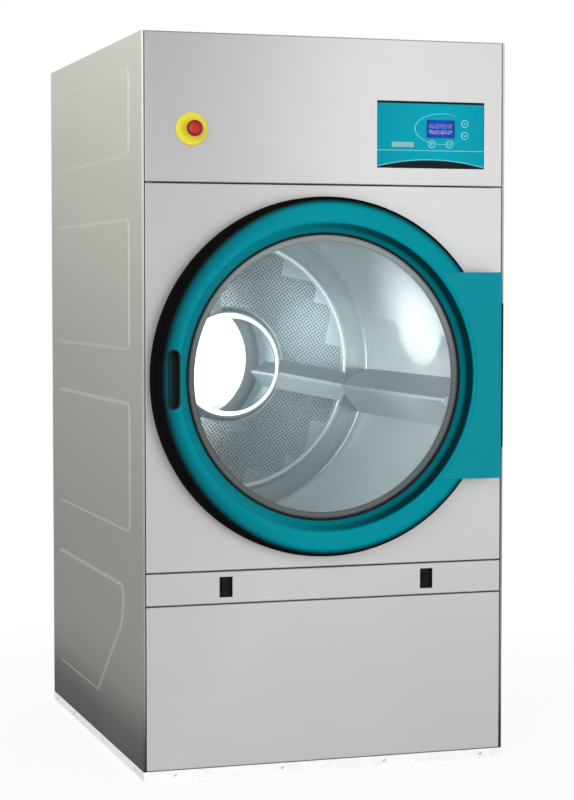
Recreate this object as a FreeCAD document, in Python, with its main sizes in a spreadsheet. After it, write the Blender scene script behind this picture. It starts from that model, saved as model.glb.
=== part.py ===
"""Industrial tumble dryer with a round glass door, a belt-driven drum and a drawer-type lint filter.

Millimetres, +Z up, the front faces -Y and +X is on the viewer's right. The origin is on the floor, below
the middle of the whole machine. Every driving size is a cell of the sheet "sizes"; the rest follows from it.
"""
import FreeCAD
import Part
import Sketcher

import math
import operator
import os
from types import SimpleNamespace

SIZES = {
    # cabinet
    "cabinet_width": 940.0,
    "cabinet_depth": 1100.0,
    "cabinet_height": 1812.0,
    "side_gauge": 1.2,
    "front_gauge": 1.5,
    "front_depth": 22.0,
    "seam": 3.0,
    "side_gap": 2.5,
    "side_lip": 5.0,
    "side_return": 30.0,
    "top_rim": 12.0,
    "fit_gap": 0.3,
    "running_gap": 0.05,
    "base_height": 23.0,
    "base_gauge": 3.0,
    "base_web": 60.0,
    "base_flange": 25.0,
    "rail_width": 60.0,
    "rail_pitch": 180.0,
    "first_rail": 500.0,
    "anchor_radius": 6.5,
    "anchor_inset": 30.0,
    "rear_split_height": 758.0,
    # the fascia seam above the middle of the door, the drawer's top below the tub, its foot below its walls
    "fascia_seam_height": 472.0,
    "drawer_top_height": 32.0,
    "drawer_bottom_height": 12.0,
    # pressed outlines of the side panels
    "emboss_height": 3.0,
    "emboss_angle": 45.0,
    "emboss_radius": 30.0,
    "emboss_wall": 12.0,
    "emboss_front": 126.0,
    "emboss_back": 1005.0,
    "upper_emboss_top": 1740.0,
    "upper_emboss_bottom": 1520.0,
    "middle_emboss_top": 1369.0,
    "middle_emboss_bottom": 1043.0,
    "lower_emboss_top": 916.0,
    "lower_emboss_bottom": 592.0,
    "foot_emboss_top": 457.0,
    "foot_emboss_bottom": 133.0,
    "foot_emboss_front": 200.0,
    "foot_emboss_slope": 300.0,
    # door
    "door_offset": -12.0,
    "door_height": 979.0,
    "door_radius": 442.0,
    "door_proud": 60.0,
    "door_back_gap": 4.0,
    "door_wall": 3.0,
    "shoulder_radius": 26.0,
    "face_inner_radius": 380.0,
    "bevel_inner_radius": 353.0,
    "bevel_depth": 40.0,
    "glass_radius": 344.0,
    "glass_thickness": 6.0,
    "gasket_inner_radius": 334.0,
    "gasket_proud": 4.0,
    "pan_gauge": 1.5,
    "pan_inner_radius": 336.0,
    "seal_inner_radius": 405.0,
    "seal_outer_radius": 428.0,
    "handle_radius": 395.0,
    "handle_width": 27.0,
    "handle_length": 140.0,
    "handle_depth": 24.0,
    "handle_wall": 1.5,
    # hinge
    "hinge_offset": 440.0,
    "hinge_standoff": 50.0,
    "barrel_radius": 7.0,
    "pin_radius": 5.0,
    "knuckle_half": 100.0,
    "bracket_length": 80.0,
    "strap_thickness": 5.0,
    "strap_offset": 9.0,
    "bracket_foot_width": 30.0,
    "bracket_foot_gauge": 3.0,
    "plate_gauge": 2.0,
    "plate_half_height": 257.5,
    "plate_arc_radius": 385.0,
    "plate_edge_gap": 2.0,
    "plate_return": 44.0,
    "catch_width": 6.0,
    "catch_length": 60.0,
    # drum and tub
    "mouth_radius": 398.0,
    "mouth_depth": 26.0,
    "drum_radius": 425.0,
    "drum_gauge": 1.5,
    "drum_front": 34.0,
    "drum_back": 870.0,
    "drum_lip_radius": 402.0,
    "rear_wall_gauge": 2.0,
    "hub_radius": 150.0,
    "hub_flat": 10.0,
    "hub_rise": 36.0,
    "lifter_half": 65.0,
    "lifter_height": 80.0,
    "lifter_ridge": 12.0,
    "lifter_ridge_half": 10.0,
    "lifter_front_gap": 26.0,
    "lifter_count": 3.0,
    "lifter_tilt": 11.0,
    "rib_half": 28.0,
    "rib_height": 28.0,
    "tub_clearance": 12.0,
    "bulkhead_place": 903.0,
    "bulkhead_gauge": 3.0,
    "bulkhead_bottom": 468.0,
    "bulkhead_top": 467.0,
    "air_window_half_width": 110.0,
    "air_window_half_height": 50.0,
    "air_window_circle": 300.0,
    "air_window_count": 4.0,
    # drum drive
    "shaft_radius": 25.0,
    "shaft_flange_half": 90.0,
    "shaft_flange_gauge": 12.0,
    "housing_half": 58.0,
    "housing_length": 102.0,
    "housing_flange_half": 95.0,
    "housing_flange_gauge": 12.0,
    "bearing_radius": 45.0,
    "bearing_inset": 6.0,
    "pulley_radius": 330.0,
    "pulley_width": 40.0,
    "pulley_rim": 12.0,
    "pulley_hub_radius": 60.0,
    "pulley_gap": 12.0,
    "spoke_count": 5.0,
    "spoke_half": 24.0,
    "spoke_gauge": 14.0,
    "belt_thickness": 6.0,
    "belt_width": 36.0,
    "motor_offset": 250.0,
    "motor_height": 300.0,
    "motor_radius": 80.0,
    "motor_length": 170.0,
    "gearbox_half": 70.0,
    "gearbox_length": 55.0,
    "motor_pulley_radius": 45.0,
    "motor_shaft_radius": 12.0,
    "motor_shaft_depth": 40.0,
    "stand_gauge": 6.0,
    "stand_half": 75.0,
    "stand_depth": 160.0,
    # air path
    "heater_half": 300.0,
    "heater_front": 560.0,
    "heater_height": 194.0,
    "duct_gauge": 1.2,
    "heater_strip_gauge": 12.0,
    "heater_strip_pitch": 60.0,
    "heater_strip_inset": 30.0,
    "grille_half": 260.0,
    "grille_gauge": 2.0,
    "grille_border": 20.0,
    "louvre_pitch": 16.0,
    "louvre_width": 7.0,
    "louvre_count": 9.0,
    "chute_half": 160.0,
    "chute_front": 320.0,
    "chute_back": 620.0,
    "drawer_half": 420.0,
    "drawer_length": 586.0,
    "drawer_wall": 1.5,
    "drawer_wall_height": 69.0,
    "screen_gauge": 1.0,
    "screen_height": 1.5,
    "filter_housing_back": 640.0,
    "fan_offset": -150.0,
    "fan_place": 830.0,
    "fan_height": 215.0,
    "fan_half_width": 80.0,
    "volute_radius": 140.0,
    "volute_step": 20.0,
    "fan_inlet_radius": 95.0,
    "impeller_radius": 122.0,
    "impeller_width": 124.0,
    "impeller_gauge": 3.0,
    "blade_count": 8.0,
    "blade_root_radius": 52.0,
    "blade_lead": 22.0,
    "blade_curve": 80.0,
    "blade_gauge": 2.5,
    "fan_hub_radius": 24.0,
    "fan_shaft_radius": 10.0,
    "fan_shaft_depth": 45.0,
    "fan_motor_radius": 70.0,
    "fan_motor_length": 200.0,
    "fan_stand_half": 100.0,
    "spigot_radius": 100.0,
    "spigot_proud": 60.0,
    "spigot_gauge": 1.5,
    "spigot_flange_half": 106.0,
    "spigot_flange_gauge": 3.0,
    # controls, with heights above the fascia seam
    "overlay_left": 128.0,
    "overlay_right": 414.0,
    "overlay_bottom": 44.0,
    "overlay_top": 210.0,
    "overlay_recess": 3.0,
    "overlay_gauge": 2.0,
    "control_wall": 8.0,
    "control_ledge": 6.0,
    "control_depth": 60.0,
    "control_back": 3.0,
    "board_gap": 3.7,
    "board_gauge": 1.6,
    "screen_left": 260.0,
    "screen_right": 336.0,
    "screen_bottom": 120.0,
    "screen_top": 165.0,
    "key_radius": 10.0,
    "key_proud": 0.4,
    "key_rest_gap": 0.8,
    "menu_key_offset": 362.6,
    "upper_menu_height": 156.8,
    "lower_menu_height": 127.1,
    "bottom_key_height": 104.6,
    "left_key_offset": 274.3,
    "right_key_offset": 322.0,
    "stop_offset": -346.0,
    "stop_height": 129.0,
    "stop_collar_radius": 40.0,
    "stop_collar_gauge": 4.0,
    "stop_neck_radius": 11.0,
    "stop_neck_proud": 12.0,
    "stop_stem_radius": 6.0,
    "stop_head_radius": 20.0,
    "stop_head_back": 22.0,
    "stop_head_front": 38.0,
    "stop_head_edge": 6.0,
    "stop_block_half": 20.0,
    "stop_block_depth": 50.0,
    "stop_stem_depth": 30.0,
    # drawer latches, with their height above the foot of the drawer
    "latch_offset": 262.0,
    "latch_half_width": 16.5,
    "latch_half_height": 25.0,
    "latch_height": 41.5,
    "latch_depth": 14.0,
    "latch_wall": 1.5,
    "slider_half_width": 8.0,
    "slider_half_height": 11.0,
    "slider_thickness": 8.0,
    "slider_groove_half": 2.0,
}

START, END, MIDDLE = range(1, 4)  # how a sketch numbers the points of a curve
OPERATIONS = {"+": operator.add, "-": operator.sub, "*": operator.mul, "/": operator.truediv}


class Size:
    """A length that holds its number and the formula of sheet cells that it comes from."""

    def __init__(self, value, formula):
        self.value = value
        self.formula = formula

    def __add__(self, other):
        return combine(self, "+", other)

    def __radd__(self, other):
        return combine(other, "+", self)

    def __sub__(self, other):
        return combine(self, "-", other)

    def __rsub__(self, other):
        return combine(other, "-", self)

    def __mul__(self, other):
        return combine(self, "*", other)

    def __rmul__(self, other):
        return combine(other, "*", self)

    def __truediv__(self, other):
        return combine(self, "/", other)

    def __neg__(self):
        return combine(0.0, "-", self)


def as_size(number):
    """Return a Size for a Size or a plain number."""
    if isinstance(number, Size):
        return number
    return Size(float(number), f"{float(number)}")


def combine(left, sign, right):
    """Work out one operation on values and on formulas alike."""
    first, second = as_size(left), as_size(right)
    return Size(OPERATIONS[sign](first.value, second.value), f"({first.formula} {sign} {second.formula})")


def root(size):
    """Return the square root of a size."""
    return Size(math.sqrt(size.value), f"sqrt({size.formula})")


def leg(hypotenuse, other_leg):
    """Return the third side of a right-angled triangle."""
    return root(hypotenuse * hypotenuse - other_leg * other_leg)


doc = FreeCAD.newDocument("tumble_dryer")
sheet = doc.addObject("Spreadsheet::Sheet", "sizes")
for row, (alias, number) in enumerate(SIZES.items(), start=1):
    sheet.set(f"A{row}", alias)
    sheet.set(f"B{row}", str(number))
    sheet.setAlias(f"B{row}", alias)
doc.recompute()

dim = SimpleNamespace(**{alias: Size(number, f"sizes.{alias}") for alias, number in SIZES.items()})
nodes = []

Y_UP = FreeCAD.Rotation(FreeCAD.Vector(1, 0, 0), -90)
X_UP = FreeCAD.Rotation(FreeCAD.Vector(0, 1, 0), 90)
TURNED = {"x": X_UP, "y": Y_UP, "z": FreeCAD.Rotation()}


# Helpers that make bound objects

def bind(item, prop, size):
    """Tie a property of an object to a formula of sheet cells."""
    item.setExpression(prop, as_size(size).formula)


def place(item, x=0.0, y=0.0, z=0.0):
    """Tie the place of an object to three sizes."""
    for axis, size in zip("xyz", (x, y, z)):
        bind(item, f"Placement.Base.{axis}", size)
    return item


def publish(item, label):
    """Name a finished sub-part and put it on the list of files to write."""
    item.Label = label
    nodes.append(item)
    return item


def box(name, x_span, y_span, z_span):
    """Make a block between two planes on each axis."""
    item = doc.addObject("Part::Box", name)
    spans = (x_span, y_span, z_span)
    for side, (low, high) in zip(("Length", "Width", "Height"), spans):
        bind(item, side, as_size(high) - low)
    return place(item, *(low for low, high in spans))


def cylinder(name, radius, axis, span, centre):
    """Make a round bar along an axis, between two planes, about a centre given on the other two axes."""
    item = doc.addObject("Part::Cylinder", name)
    low, high = span
    bind(item, "Radius", radius)
    bind(item, "Height", as_size(high) - low)
    item.Placement.Rotation = TURNED[axis]
    corner = list(centre)
    corner.insert("xyz".index(axis), low)
    return place(item, *corner)


def fuse(name, *parts):
    """Join parts into one solid."""
    item = doc.addObject("Part::MultiFuse", name)
    item.Shapes = list(parts)
    item.Refine = True
    return item


def group(name, *parts):
    """Keep like parts together in one node as separate solids."""
    item = doc.addObject("Part::Compound", name)
    item.Links = list(parts)
    return item


def cut(name, base, *tools):
    """Cut one or more tools out of a part."""
    item = doc.addObject("Part::Cut", name)
    item.Base = base
    item.Tool = tools[0] if len(tools) == 1 else fuse(f"{name}_tools", *tools)
    return item


def new_body(name):
    """Start a PartDesign body that may hold separate solids."""
    body = doc.addObject("PartDesign::Body", name)
    body.AllowCompound = True
    return body


def origin_feature(body, role):
    """Find a plane or an axis of a body's own origin."""
    return next(item for item in body.Origin.OriginFeatures if item.Role == role)


def new_sketch(body, plane, offset=0.0):
    """Attach a sketch to an origin plane of its body, moved along +X, +Y or +Z."""
    sketch = body.newObject("Sketcher::SketchObject", f"{body.Name}_outline")
    sketch.AttachmentSupport = [(origin_feature(body, f"{plane}_Plane"), "")]
    sketch.MapMode = "FlatFace"
    along_normal = -as_size(offset) if plane == "XZ" else offset
    bind(sketch, "AttachmentOffset.Base.z", along_normal)
    return sketch


def constrain(sketch, kind, where, size):
    """Add one dimension to a sketch and tie it to its formula."""
    size = as_size(size)
    index = sketch.addConstraint(Sketcher.Constraint(kind, *where, size.value))
    sketch.setExpression(f"Constraints[{index}]", size.formula)


def fix_point(sketch, geometry, point, u, v):
    """Dimension a point of the sketch from its origin."""
    constrain(sketch, "DistanceX", (-1, 1, geometry, point), u)
    constrain(sketch, "DistanceY", (-1, 1, geometry, point), v)


def circle(sketch, u, v, radius):
    """Draw a circle."""
    u, v, radius = as_size(u), as_size(v), as_size(radius)
    middle = FreeCAD.Vector(u.value, v.value, 0)
    index = sketch.addGeometry(Part.Circle(middle, FreeCAD.Vector(0, 0, 1), radius.value))
    fix_point(sketch, index, MIDDLE, u, v)
    constrain(sketch, "Radius", (index,), radius)


def arc_between(start, end, centre):
    """Return the shorter arc between two points and the sketch points at its start and end."""
    first, last = start - centre, end - centre
    angles = [math.atan2(first.y, first.x), math.atan2(last.y, last.x)]
    points = (START, END)
    if first.cross(last).z < 0:
        angles.reverse()
        points = (END, START)
    arc = Part.ArcOfCircle(Part.Circle(centre, FreeCAD.Vector(0, 0, 1), first.Length), *angles)
    return arc, points


def outline(sketch, corners):
    """Draw a closed outline.

    A corner is (u, v), followed by a straight side, or (u, v, radius, centre_u, centre_v), followed by an
    arc of that radius, whose centre only starts the solver on the right side.
    """
    sizes = [[as_size(number) for number in corner] for corner in corners]
    vectors = [FreeCAD.Vector(corner[0].value, corner[1].value, 0) for corner in sizes]
    sides = []
    for index, corner in enumerate(sizes):
        start, end = vectors[index], vectors[(index + 1) % len(vectors)]
        bend = corner[2:]
        if not bend:
            sides.append((sketch.addGeometry(Part.LineSegment(start, end)), (START, END)))
            continue
        radius, centre_u, centre_v = bend
        arc, points = arc_between(start, end, FreeCAD.Vector(centre_u.value, centre_v.value, 0))
        sides.append((sketch.addGeometry(arc), points))
    for index, (side, points) in enumerate(sides):
        after, after_points = sides[(index + 1) % len(sides)]
        sketch.addConstraint(Sketcher.Constraint("Coincident", side, points[1], after, after_points[0]))
        u, v, *bend = sizes[index]
        fix_point(sketch, side, points[0], u, v)
        if bend:
            constrain(sketch, "Radius", (side,), bend[0])


def rectangle(sketch, u_span, v_span):
    """Draw a rectangle."""
    (left, right), (low, high) = u_span, v_span
    outline(sketch, [(left, low), (right, low), (right, high), (left, high)])


def rounded_rectangle(sketch, u_span, v_span, radius):
    """Draw a rectangle with rounded corners."""
    (left, right), (low, high) = u_span, v_span
    inner_left, inner_right = left + radius, right - radius
    inner_low, inner_high = low + radius, high - radius
    outline(sketch, [
        (inner_left, low), (inner_right, low, radius, inner_right, inner_low),
        (right, inner_low), (right, inner_high, radius, inner_right, inner_high),
        (inner_right, high), (inner_left, high, radius, inner_left, inner_high),
        (left, inner_high), (left, inner_low, radius, inner_left, inner_low),
    ])


def polygon(sketch, u, v, radius, sides):
    """Draw a regular polygon with a flat at its foot, given the radius of its corners."""
    step = 2 * math.pi / sides
    turns = [(index + 0.5) * step - math.pi / 2 for index in range(sides)]
    outline(sketch, [(u + radius * math.cos(turn), v + radius * math.sin(turn)) for turn in turns])


def extrude(body, kind, plane, span, outlines, taper):
    """Pad or pocket outlines from the first to the second plane of a span along X, Y or Z."""
    start, end = as_size(span[0]), as_size(span[1])
    forward = end.value > start.value
    along_normal = forward != (plane == "XZ")
    sketch = new_sketch(body, plane, start)
    for drawing, *values in outlines:
        drawing(sketch, *values)
    feature = body.newObject(f"PartDesign::{kind}", f"{body.Name}_{kind.lower()}")
    feature.Profile = sketch
    feature.Reversed = along_normal if kind == "Pocket" else not along_normal
    bind(feature, "Length", end - start if forward else start - end)
    if taper is not None:
        bind(feature, "TaperAngle", -taper)
    return feature


def pad(body, plane, span, *outlines, taper=None):
    """Add outlines to a body."""
    return extrude(body, "Pad", plane, span, outlines, taper)


def pocket(body, plane, span, *outlines):
    """Cut outlines out of a body, and make sure that something was cut."""
    doc.recompute()
    before = body.Shape.Volume
    feature = extrude(body, "Pocket", plane, span, outlines, None)
    doc.recompute()
    if body.Shape.Volume >= before:
        raise RuntimeError(f"{body.Name}: a pocket cut nothing")
    return feature


def polar(body, axis, count, *features):
    """Repeat features of a body about one of its origin axes."""
    pattern = body.newObject("PartDesign::PolarPattern", f"{body.Name}_pattern")
    pattern.Originals = list(features)
    pattern.Axis = (origin_feature(body, f"{axis}_Axis"), [""])
    pattern.Angle = 360
    bind(pattern, "Occurrences", count)
    body.Tip = pattern
    return pattern


def revolved(name, corners, x, z):
    """Turn an outline of (radius, y) corners about a line along Y through (x, z)."""
    body = new_body(name)
    sketch = new_sketch(body, "XY")
    outline(sketch, corners)
    turn = body.newObject("PartDesign::Revolution", f"{name}_turn")
    turn.Profile = sketch
    turn.ReferenceAxis = (sketch, ["V_Axis"])
    turn.Angle = 360
    return place(body, x, 0.0, z)


# Shared planes and centres

half_width = dim.cabinet_width / 2
front = (dim.door_proud - dim.cabinet_depth - dim.spigot_proud) / 2
back = front + dim.cabinet_depth
side_top = dim.cabinet_height - dim.side_gauge
side_inner = half_width - dim.side_gauge
panel_half = half_width - dim.side_lip - dim.side_gap
panel_back = front + dim.front_depth
seat_back = panel_back + dim.side_gauge
rear_face = back - dim.side_gauge
inside_front = seat_back + dim.fit_gap
inside_half = side_inner - dim.fit_gap
door_x = dim.door_offset
door_z = dim.door_height
fascia_seam = door_z + dim.fascia_seam_height
tub_outer = dim.drum_radius + dim.drum_gauge * 2 + dim.tub_clearance
drawer_top = door_z - tub_outer - dim.drawer_top_height
drawer_bottom = drawer_top - dim.drawer_wall_height - dim.drawer_bottom_height
bulkhead_head = door_z + dim.bulkhead_top
overlay_span = (fascia_seam + dim.overlay_bottom, fascia_seam + dim.overlay_top)
stop_z = fascia_seam + dim.stop_height
latch_z = drawer_bottom + dim.latch_height
door_face = front - dim.door_proud + dim.plate_gauge
ring_back = front - dim.door_back_gap
pan_back = ring_back - dim.fit_gap
bulkhead_back = front + dim.bulkhead_place + dim.bulkhead_gauge
drum_back = front + dim.drum_back
housing_back = bulkhead_back + dim.housing_length
pulley_front = housing_back + dim.pulley_gap
pulley_back = pulley_front + dim.pulley_width
EMBOSS_ROWS = (
    (dim.upper_emboss_bottom, dim.upper_emboss_top),
    (dim.middle_emboss_bottom, dim.middle_emboss_top),
    (dim.lower_emboss_bottom, dim.lower_emboss_top),
)


def both(half):
    """Return the span from minus to plus a half width."""
    return (-as_size(half), half)


def about(centre, half):
    """Return the span of a half width about a centre."""
    return (centre - half, centre + half)


# Casing

def base_frame():
    """Folded C-section frame with three cross rails and four anchor holes."""
    across, along = both(half_width), (front, back)
    wall = dim.base_gauge
    shell = cut(
        "base_shell",
        box("base_block", across, along, (0.0, dim.base_height)),
        box("base_channel", both(half_width - wall), (front + wall, back - wall),
            (wall, dim.base_height - wall)),
        box("base_floor_gap", both(half_width - dim.base_web), (front + dim.base_web, back - dim.base_web),
            (-wall, wall)),
        box("base_top_gap", both(half_width - dim.base_flange),
            (front + dim.base_flange, back - dim.base_flange), (wall, dim.base_height + wall)),
    )
    rails = []
    for index in range(3):
        start = front + dim.first_rail + dim.rail_pitch * index
        name = f"base_rail_{index + 1}"
        across_rail = both(half_width - wall)
        outer = box(f"{name}_block", across_rail, (start, start + dim.rail_width), (0.0, dim.base_height))
        hollow = box(f"{name}_hollow", both(half_width), (start + wall, start + dim.rail_width - wall),
                     (-wall, dim.base_height - wall))
        rails.append(cut(name, outer, hollow))
    holes = []
    for x in (-half_width + dim.anchor_inset, half_width - dim.anchor_inset):
        for y in (front + dim.anchor_inset, back - dim.anchor_inset):
            holes.append(cylinder("anchor_hole", dim.anchor_radius, "z", (-wall, wall * 2), (x, y)))
    welded = fuse("base_welded", shell, *rails)
    publish(cut("base", welded, *holes), "base_frame")


def side_embosses(sketch):
    """Draw the pressed outlines of a side panel: three rounded rectangles and one with a sloping corner."""
    radius = dim.emboss_radius
    nearest, farthest = front + dim.emboss_front, front + dim.emboss_back
    for low, high in EMBOSS_ROWS:
        rounded_rectangle(sketch, (nearest, farthest), (low, high), radius)
    low, high = dim.foot_emboss_bottom, dim.foot_emboss_top
    nose = front + dim.foot_emboss_front
    inner_back = farthest - radius
    outline(sketch, [
        (inner_back, high, radius, inner_back, high - radius),
        (farthest, high - radius), (farthest, low + radius, radius, inner_back, low + radius),
        (inner_back, low), (nose + dim.foot_emboss_slope, low), (nose, high - radius), (nose + radius, high),
    ])


def side_hollows(sketch):
    """Draw the hollows behind the pressed outlines, set in by the press wall."""
    wall = dim.emboss_wall
    nearest, farthest = front + dim.emboss_front + wall, front + dim.emboss_back - wall
    for low, high in EMBOSS_ROWS:
        rectangle(sketch, (nearest, farthest), (low + wall, high - wall))
    low, high = dim.foot_emboss_bottom + wall, dim.foot_emboss_top - wall
    nose = front + dim.foot_emboss_front + dim.emboss_radius
    outline(sketch, [(nose, high), (nose + dim.foot_emboss_slope, low), (farthest, low), (farthest, high)])


def side_panel(label, side):
    """Folded side sheet with a front lip, a seat for the front panels, a rear return and pressed outlines."""
    gauge = dim.side_gauge
    outer, inner = half_width * side, side_inner * side
    lip = (half_width - dim.side_lip) * side
    lip_inner = (half_width - dim.side_lip + gauge) * side
    seat = (half_width - dim.side_return) * side
    body = new_body(label)
    pad(body, "XY", (dim.base_height, side_top), (outline, [
        (seat, rear_face), (outer, rear_face), (outer, front), (lip, front), (lip, panel_back),
        (seat, panel_back), (seat, seat_back), (lip_inner, seat_back), (lip_inner, front + gauge),
        (inner, front + gauge), (inner, rear_face - gauge), (seat, rear_face - gauge),
    ]))
    raised = (half_width + dim.emboss_height) * side
    pad(body, "YZ", (outer, raised), (side_embosses,), taper=dim.emboss_angle)
    pocket(body, "YZ", (inner, inner + dim.emboss_height * side), (side_hollows,))
    publish(body, label)


def top_panel():
    """Flat lid with a stiffening rim folded down inside the cabinet."""
    rim_span = (side_top - dim.top_rim, side_top)
    wall = dim.side_gauge
    inner_back = rear_face - wall - dim.fit_gap
    rim = cut(
        "top_rim_frame",
        box("top_rim_block", both(inside_half), (inside_front, inner_back), rim_span),
        box("top_rim_gap", both(inside_half - wall), (inside_front + wall, inner_back - wall),
            (rim_span[0] - wall, rim_span[1])),
    )
    lid = box("top_lid", both(half_width), (front, back), (side_top, dim.cabinet_height))
    publish(fuse("top", lid, rim), "top_panel")


def tray(name, z_span, depth):
    """Front panel folded back on its four sides."""
    low, high = z_span
    wall = dim.front_gauge
    return cut(
        name,
        box(f"{name}_block", both(panel_half), (front, front + depth), z_span),
        box(f"{name}_hollow", both(panel_half - wall), (front + wall, back), (low + wall, high - wall)),
    )


def front_panels():
    """Control fascia, door surround with its mouth, and lower service panel."""
    half_seam = dim.seam / 2
    through = (front - dim.front_gauge, front + dim.front_gauge * 2)
    fascia = tray("fascia_tray", (fascia_seam + half_seam, side_top), dim.front_depth)
    window = box("overlay_window", (dim.overlay_left, dim.overlay_right), through, overlay_span)
    stop_hole = cylinder("stop_hole", dim.stop_neck_radius + dim.fit_gap, "y", through,
                         (dim.stop_offset, stop_z))
    publish(cut("fascia", fascia, window, stop_hole), "control_fascia")

    surround_span = (drawer_top + half_seam, fascia_seam - half_seam)
    surround = tray("surround_tray", surround_span, dim.front_depth)
    centre = (door_x, door_z)
    mouth_span = (front, front + dim.mouth_depth)
    collar = cylinder("mouth_collar", dim.mouth_radius + dim.front_gauge, "y", mouth_span, centre)
    mouth = cylinder("mouth_hole", dim.mouth_radius, "y", (front - dim.seam, panel_back + dim.mouth_depth),
                     centre)
    publish(cut("surround", fuse("surround_with_collar", surround, collar), mouth), "door_surround_panel")

    lower_span = (dim.base_height + half_seam, drawer_bottom - half_seam)
    publish(tray("lower_tray", lower_span, dim.front_depth), "lower_front_panel")


def rear_panels():
    """Two rear covers, the slotted air inlet and the round exhaust spigot."""
    gauge = dim.side_gauge
    across = both(half_width - dim.side_gap)
    along = (rear_face, back)
    half_seam = dim.seam / 2
    through = (rear_face - gauge, back + gauge)
    upper = box("rear_upper_sheet", across, along, (dim.rear_split_height + half_seam, side_top - half_seam))
    inlet_bottom = bulkhead_head + dim.grille_border * 2
    inlet_top = inlet_bottom + dim.louvre_pitch * dim.louvre_count
    inlet = box("inlet_hole", both(dim.grille_half - dim.grille_border), through, (inlet_bottom, inlet_top))
    publish(cut("rear_upper", upper, inlet), "rear_upper_panel")

    lower = box("rear_lower_sheet", across, along,
                (dim.base_height + half_seam, dim.rear_split_height - half_seam))
    spigot_centre = (dim.fan_offset, spigot_height)
    hole = cylinder("spigot_hole", dim.spigot_radius + dim.fit_gap, "y", through, spigot_centre)
    publish(cut("rear_lower", lower, hole), "rear_lower_panel")

    grille = new_body("air_inlet_grille")
    frame_span = (inlet_bottom - dim.grille_border, inlet_top + dim.grille_border)
    pad(grille, "XZ", (back, back + dim.grille_gauge), (rectangle, both(dim.grille_half), frame_span))
    first = inlet_bottom + (dim.louvre_pitch - dim.louvre_width) / 2
    slot = pocket(grille, "XZ", (back, back + dim.grille_gauge), (
        rectangle, both(dim.grille_half - dim.grille_border * 2), (first, first + dim.louvre_width),
    ))
    slots = grille.newObject("PartDesign::LinearPattern", "louvre_row")
    slots.Originals = [slot]
    slots.Direction = (origin_feature(grille, "Z_Axis"), [""])
    bind(slots, "Length", dim.louvre_pitch * (dim.louvre_count - 1.0))
    bind(slots, "Occurrences", dim.louvre_count)
    grille.Tip = slots
    publish(grille, "air_inlet_grille")

    flange_back = rear_face - dim.fit_gap
    flange = cylinder("spigot_flange", dim.spigot_flange_half, "y",
                      (flange_back - dim.spigot_flange_gauge, flange_back), spigot_centre)
    tube = cylinder("spigot_tube", dim.spigot_radius, "y", (flange_back, back + dim.spigot_proud),
                    spigot_centre)
    bore = cylinder("spigot_bore", dim.spigot_radius - dim.spigot_gauge, "y",
                    (flange_back - dim.spigot_proud, back + dim.spigot_proud * 2), spigot_centre)
    publish(cut("spigot", fuse("spigot_solid", flange, tube), bore), "exhaust_spigot")


# Door and hinge

SHOULDER_FLATS = 3  # the pressed shoulder of the door is rolled in this many flats


def door_pieces():
    """Round door: pressed ring, inner pan, gasket, glass, seal and finger cup."""
    wall, shoulder = dim.door_wall, dim.shoulder_radius
    radius, flat, bevel = dim.door_radius, dim.face_inner_radius, dim.bevel_inner_radius
    shoulder_start = door_face + shoulder
    lip_front = door_face + dim.bevel_depth
    lip_back = lip_front + wall + dim.fit_gap * 2
    inner_face = door_face + wall
    turns = [math.radians(90.0 * step / SHOULDER_FLATS) for step in range(SHOULDER_FLATS + 1)]
    rim = radius - shoulder
    shoulder_line = [
        (rim + shoulder * math.cos(turn), shoulder_start - shoulder * math.sin(turn)) for turn in turns
    ]
    ring = revolved("door_ring_profile", [
        (radius, ring_back), *shoulder_line,
        (flat, door_face), (bevel, lip_front), (bevel, lip_back),
        (flat, inner_face), (rim, inner_face), (radius - wall, ring_back),
    ], door_x, door_z)
    slot_span = (door_face - wall, inner_face + wall)
    publish(cut("door_ring_cut", ring, finger_slot("slot_hole", slot_span, dim.fit_gap)), "door_ring")

    pan_front = pan_back - dim.pan_gauge
    pan_inner, pan_outer = dim.pan_inner_radius, radius - wall - dim.pan_gauge
    publish(revolved("door_inner_pan", [
        (pan_inner, pan_front), (pan_outer, pan_front), (pan_outer, pan_back), (pan_inner, pan_back),
    ], door_x, door_z), "door_inner_pan")

    gasket_front = lip_front - dim.gasket_proud
    gasket_inner, gasket_outer = dim.gasket_inner_radius, bevel - dim.fit_gap
    publish(revolved("door_gasket", [
        (gasket_inner, gasket_front), (gasket_outer, gasket_front), (gasket_outer, lip_back),
        (gasket_inner, lip_back),
    ], door_x, door_z), "door_gasket")
    glass_front = lip_back + dim.fit_gap
    glass = cylinder("door_glass", dim.glass_radius, "y", (glass_front, glass_front + dim.glass_thickness),
                     (door_x, door_z))
    publish(glass, "door_glass")

    seal_front, seal_back = pan_back + dim.fit_gap, front - dim.fit_gap
    inner, outer = dim.seal_inner_radius, dim.seal_outer_radius
    publish(revolved("door_seal", [
        (inner, seal_front), (outer, seal_front), ((inner + outer) / 2, seal_back),
    ], door_x, door_z), "door_seal")

    cup_span = (door_face, door_face + dim.handle_depth)
    cup = finger_slot("cup_block", cup_span, 0.0)
    hollow = finger_slot("cup_hollow", (door_face - wall, cup_span[1] - dim.handle_wall), -dim.handle_wall)
    publish(cut("handle_cup", cup, hollow), "door_handle_cup")


def finger_slot(name, y_span, grow):
    """Upright slot with round ends in the face of the door, grown or shrunk all round."""
    x = door_x - dim.handle_radius
    half = dim.handle_width / 2 + grow
    reach = (dim.handle_length - dim.handle_width) / 2
    middle = box(f"{name}_middle", about(x, half), y_span, about(door_z, reach))
    ends = [cylinder(f"{name}_end", half, "y", y_span, (x, z)) for z in about(door_z, reach)]
    return fuse(name, middle, *ends)


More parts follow.
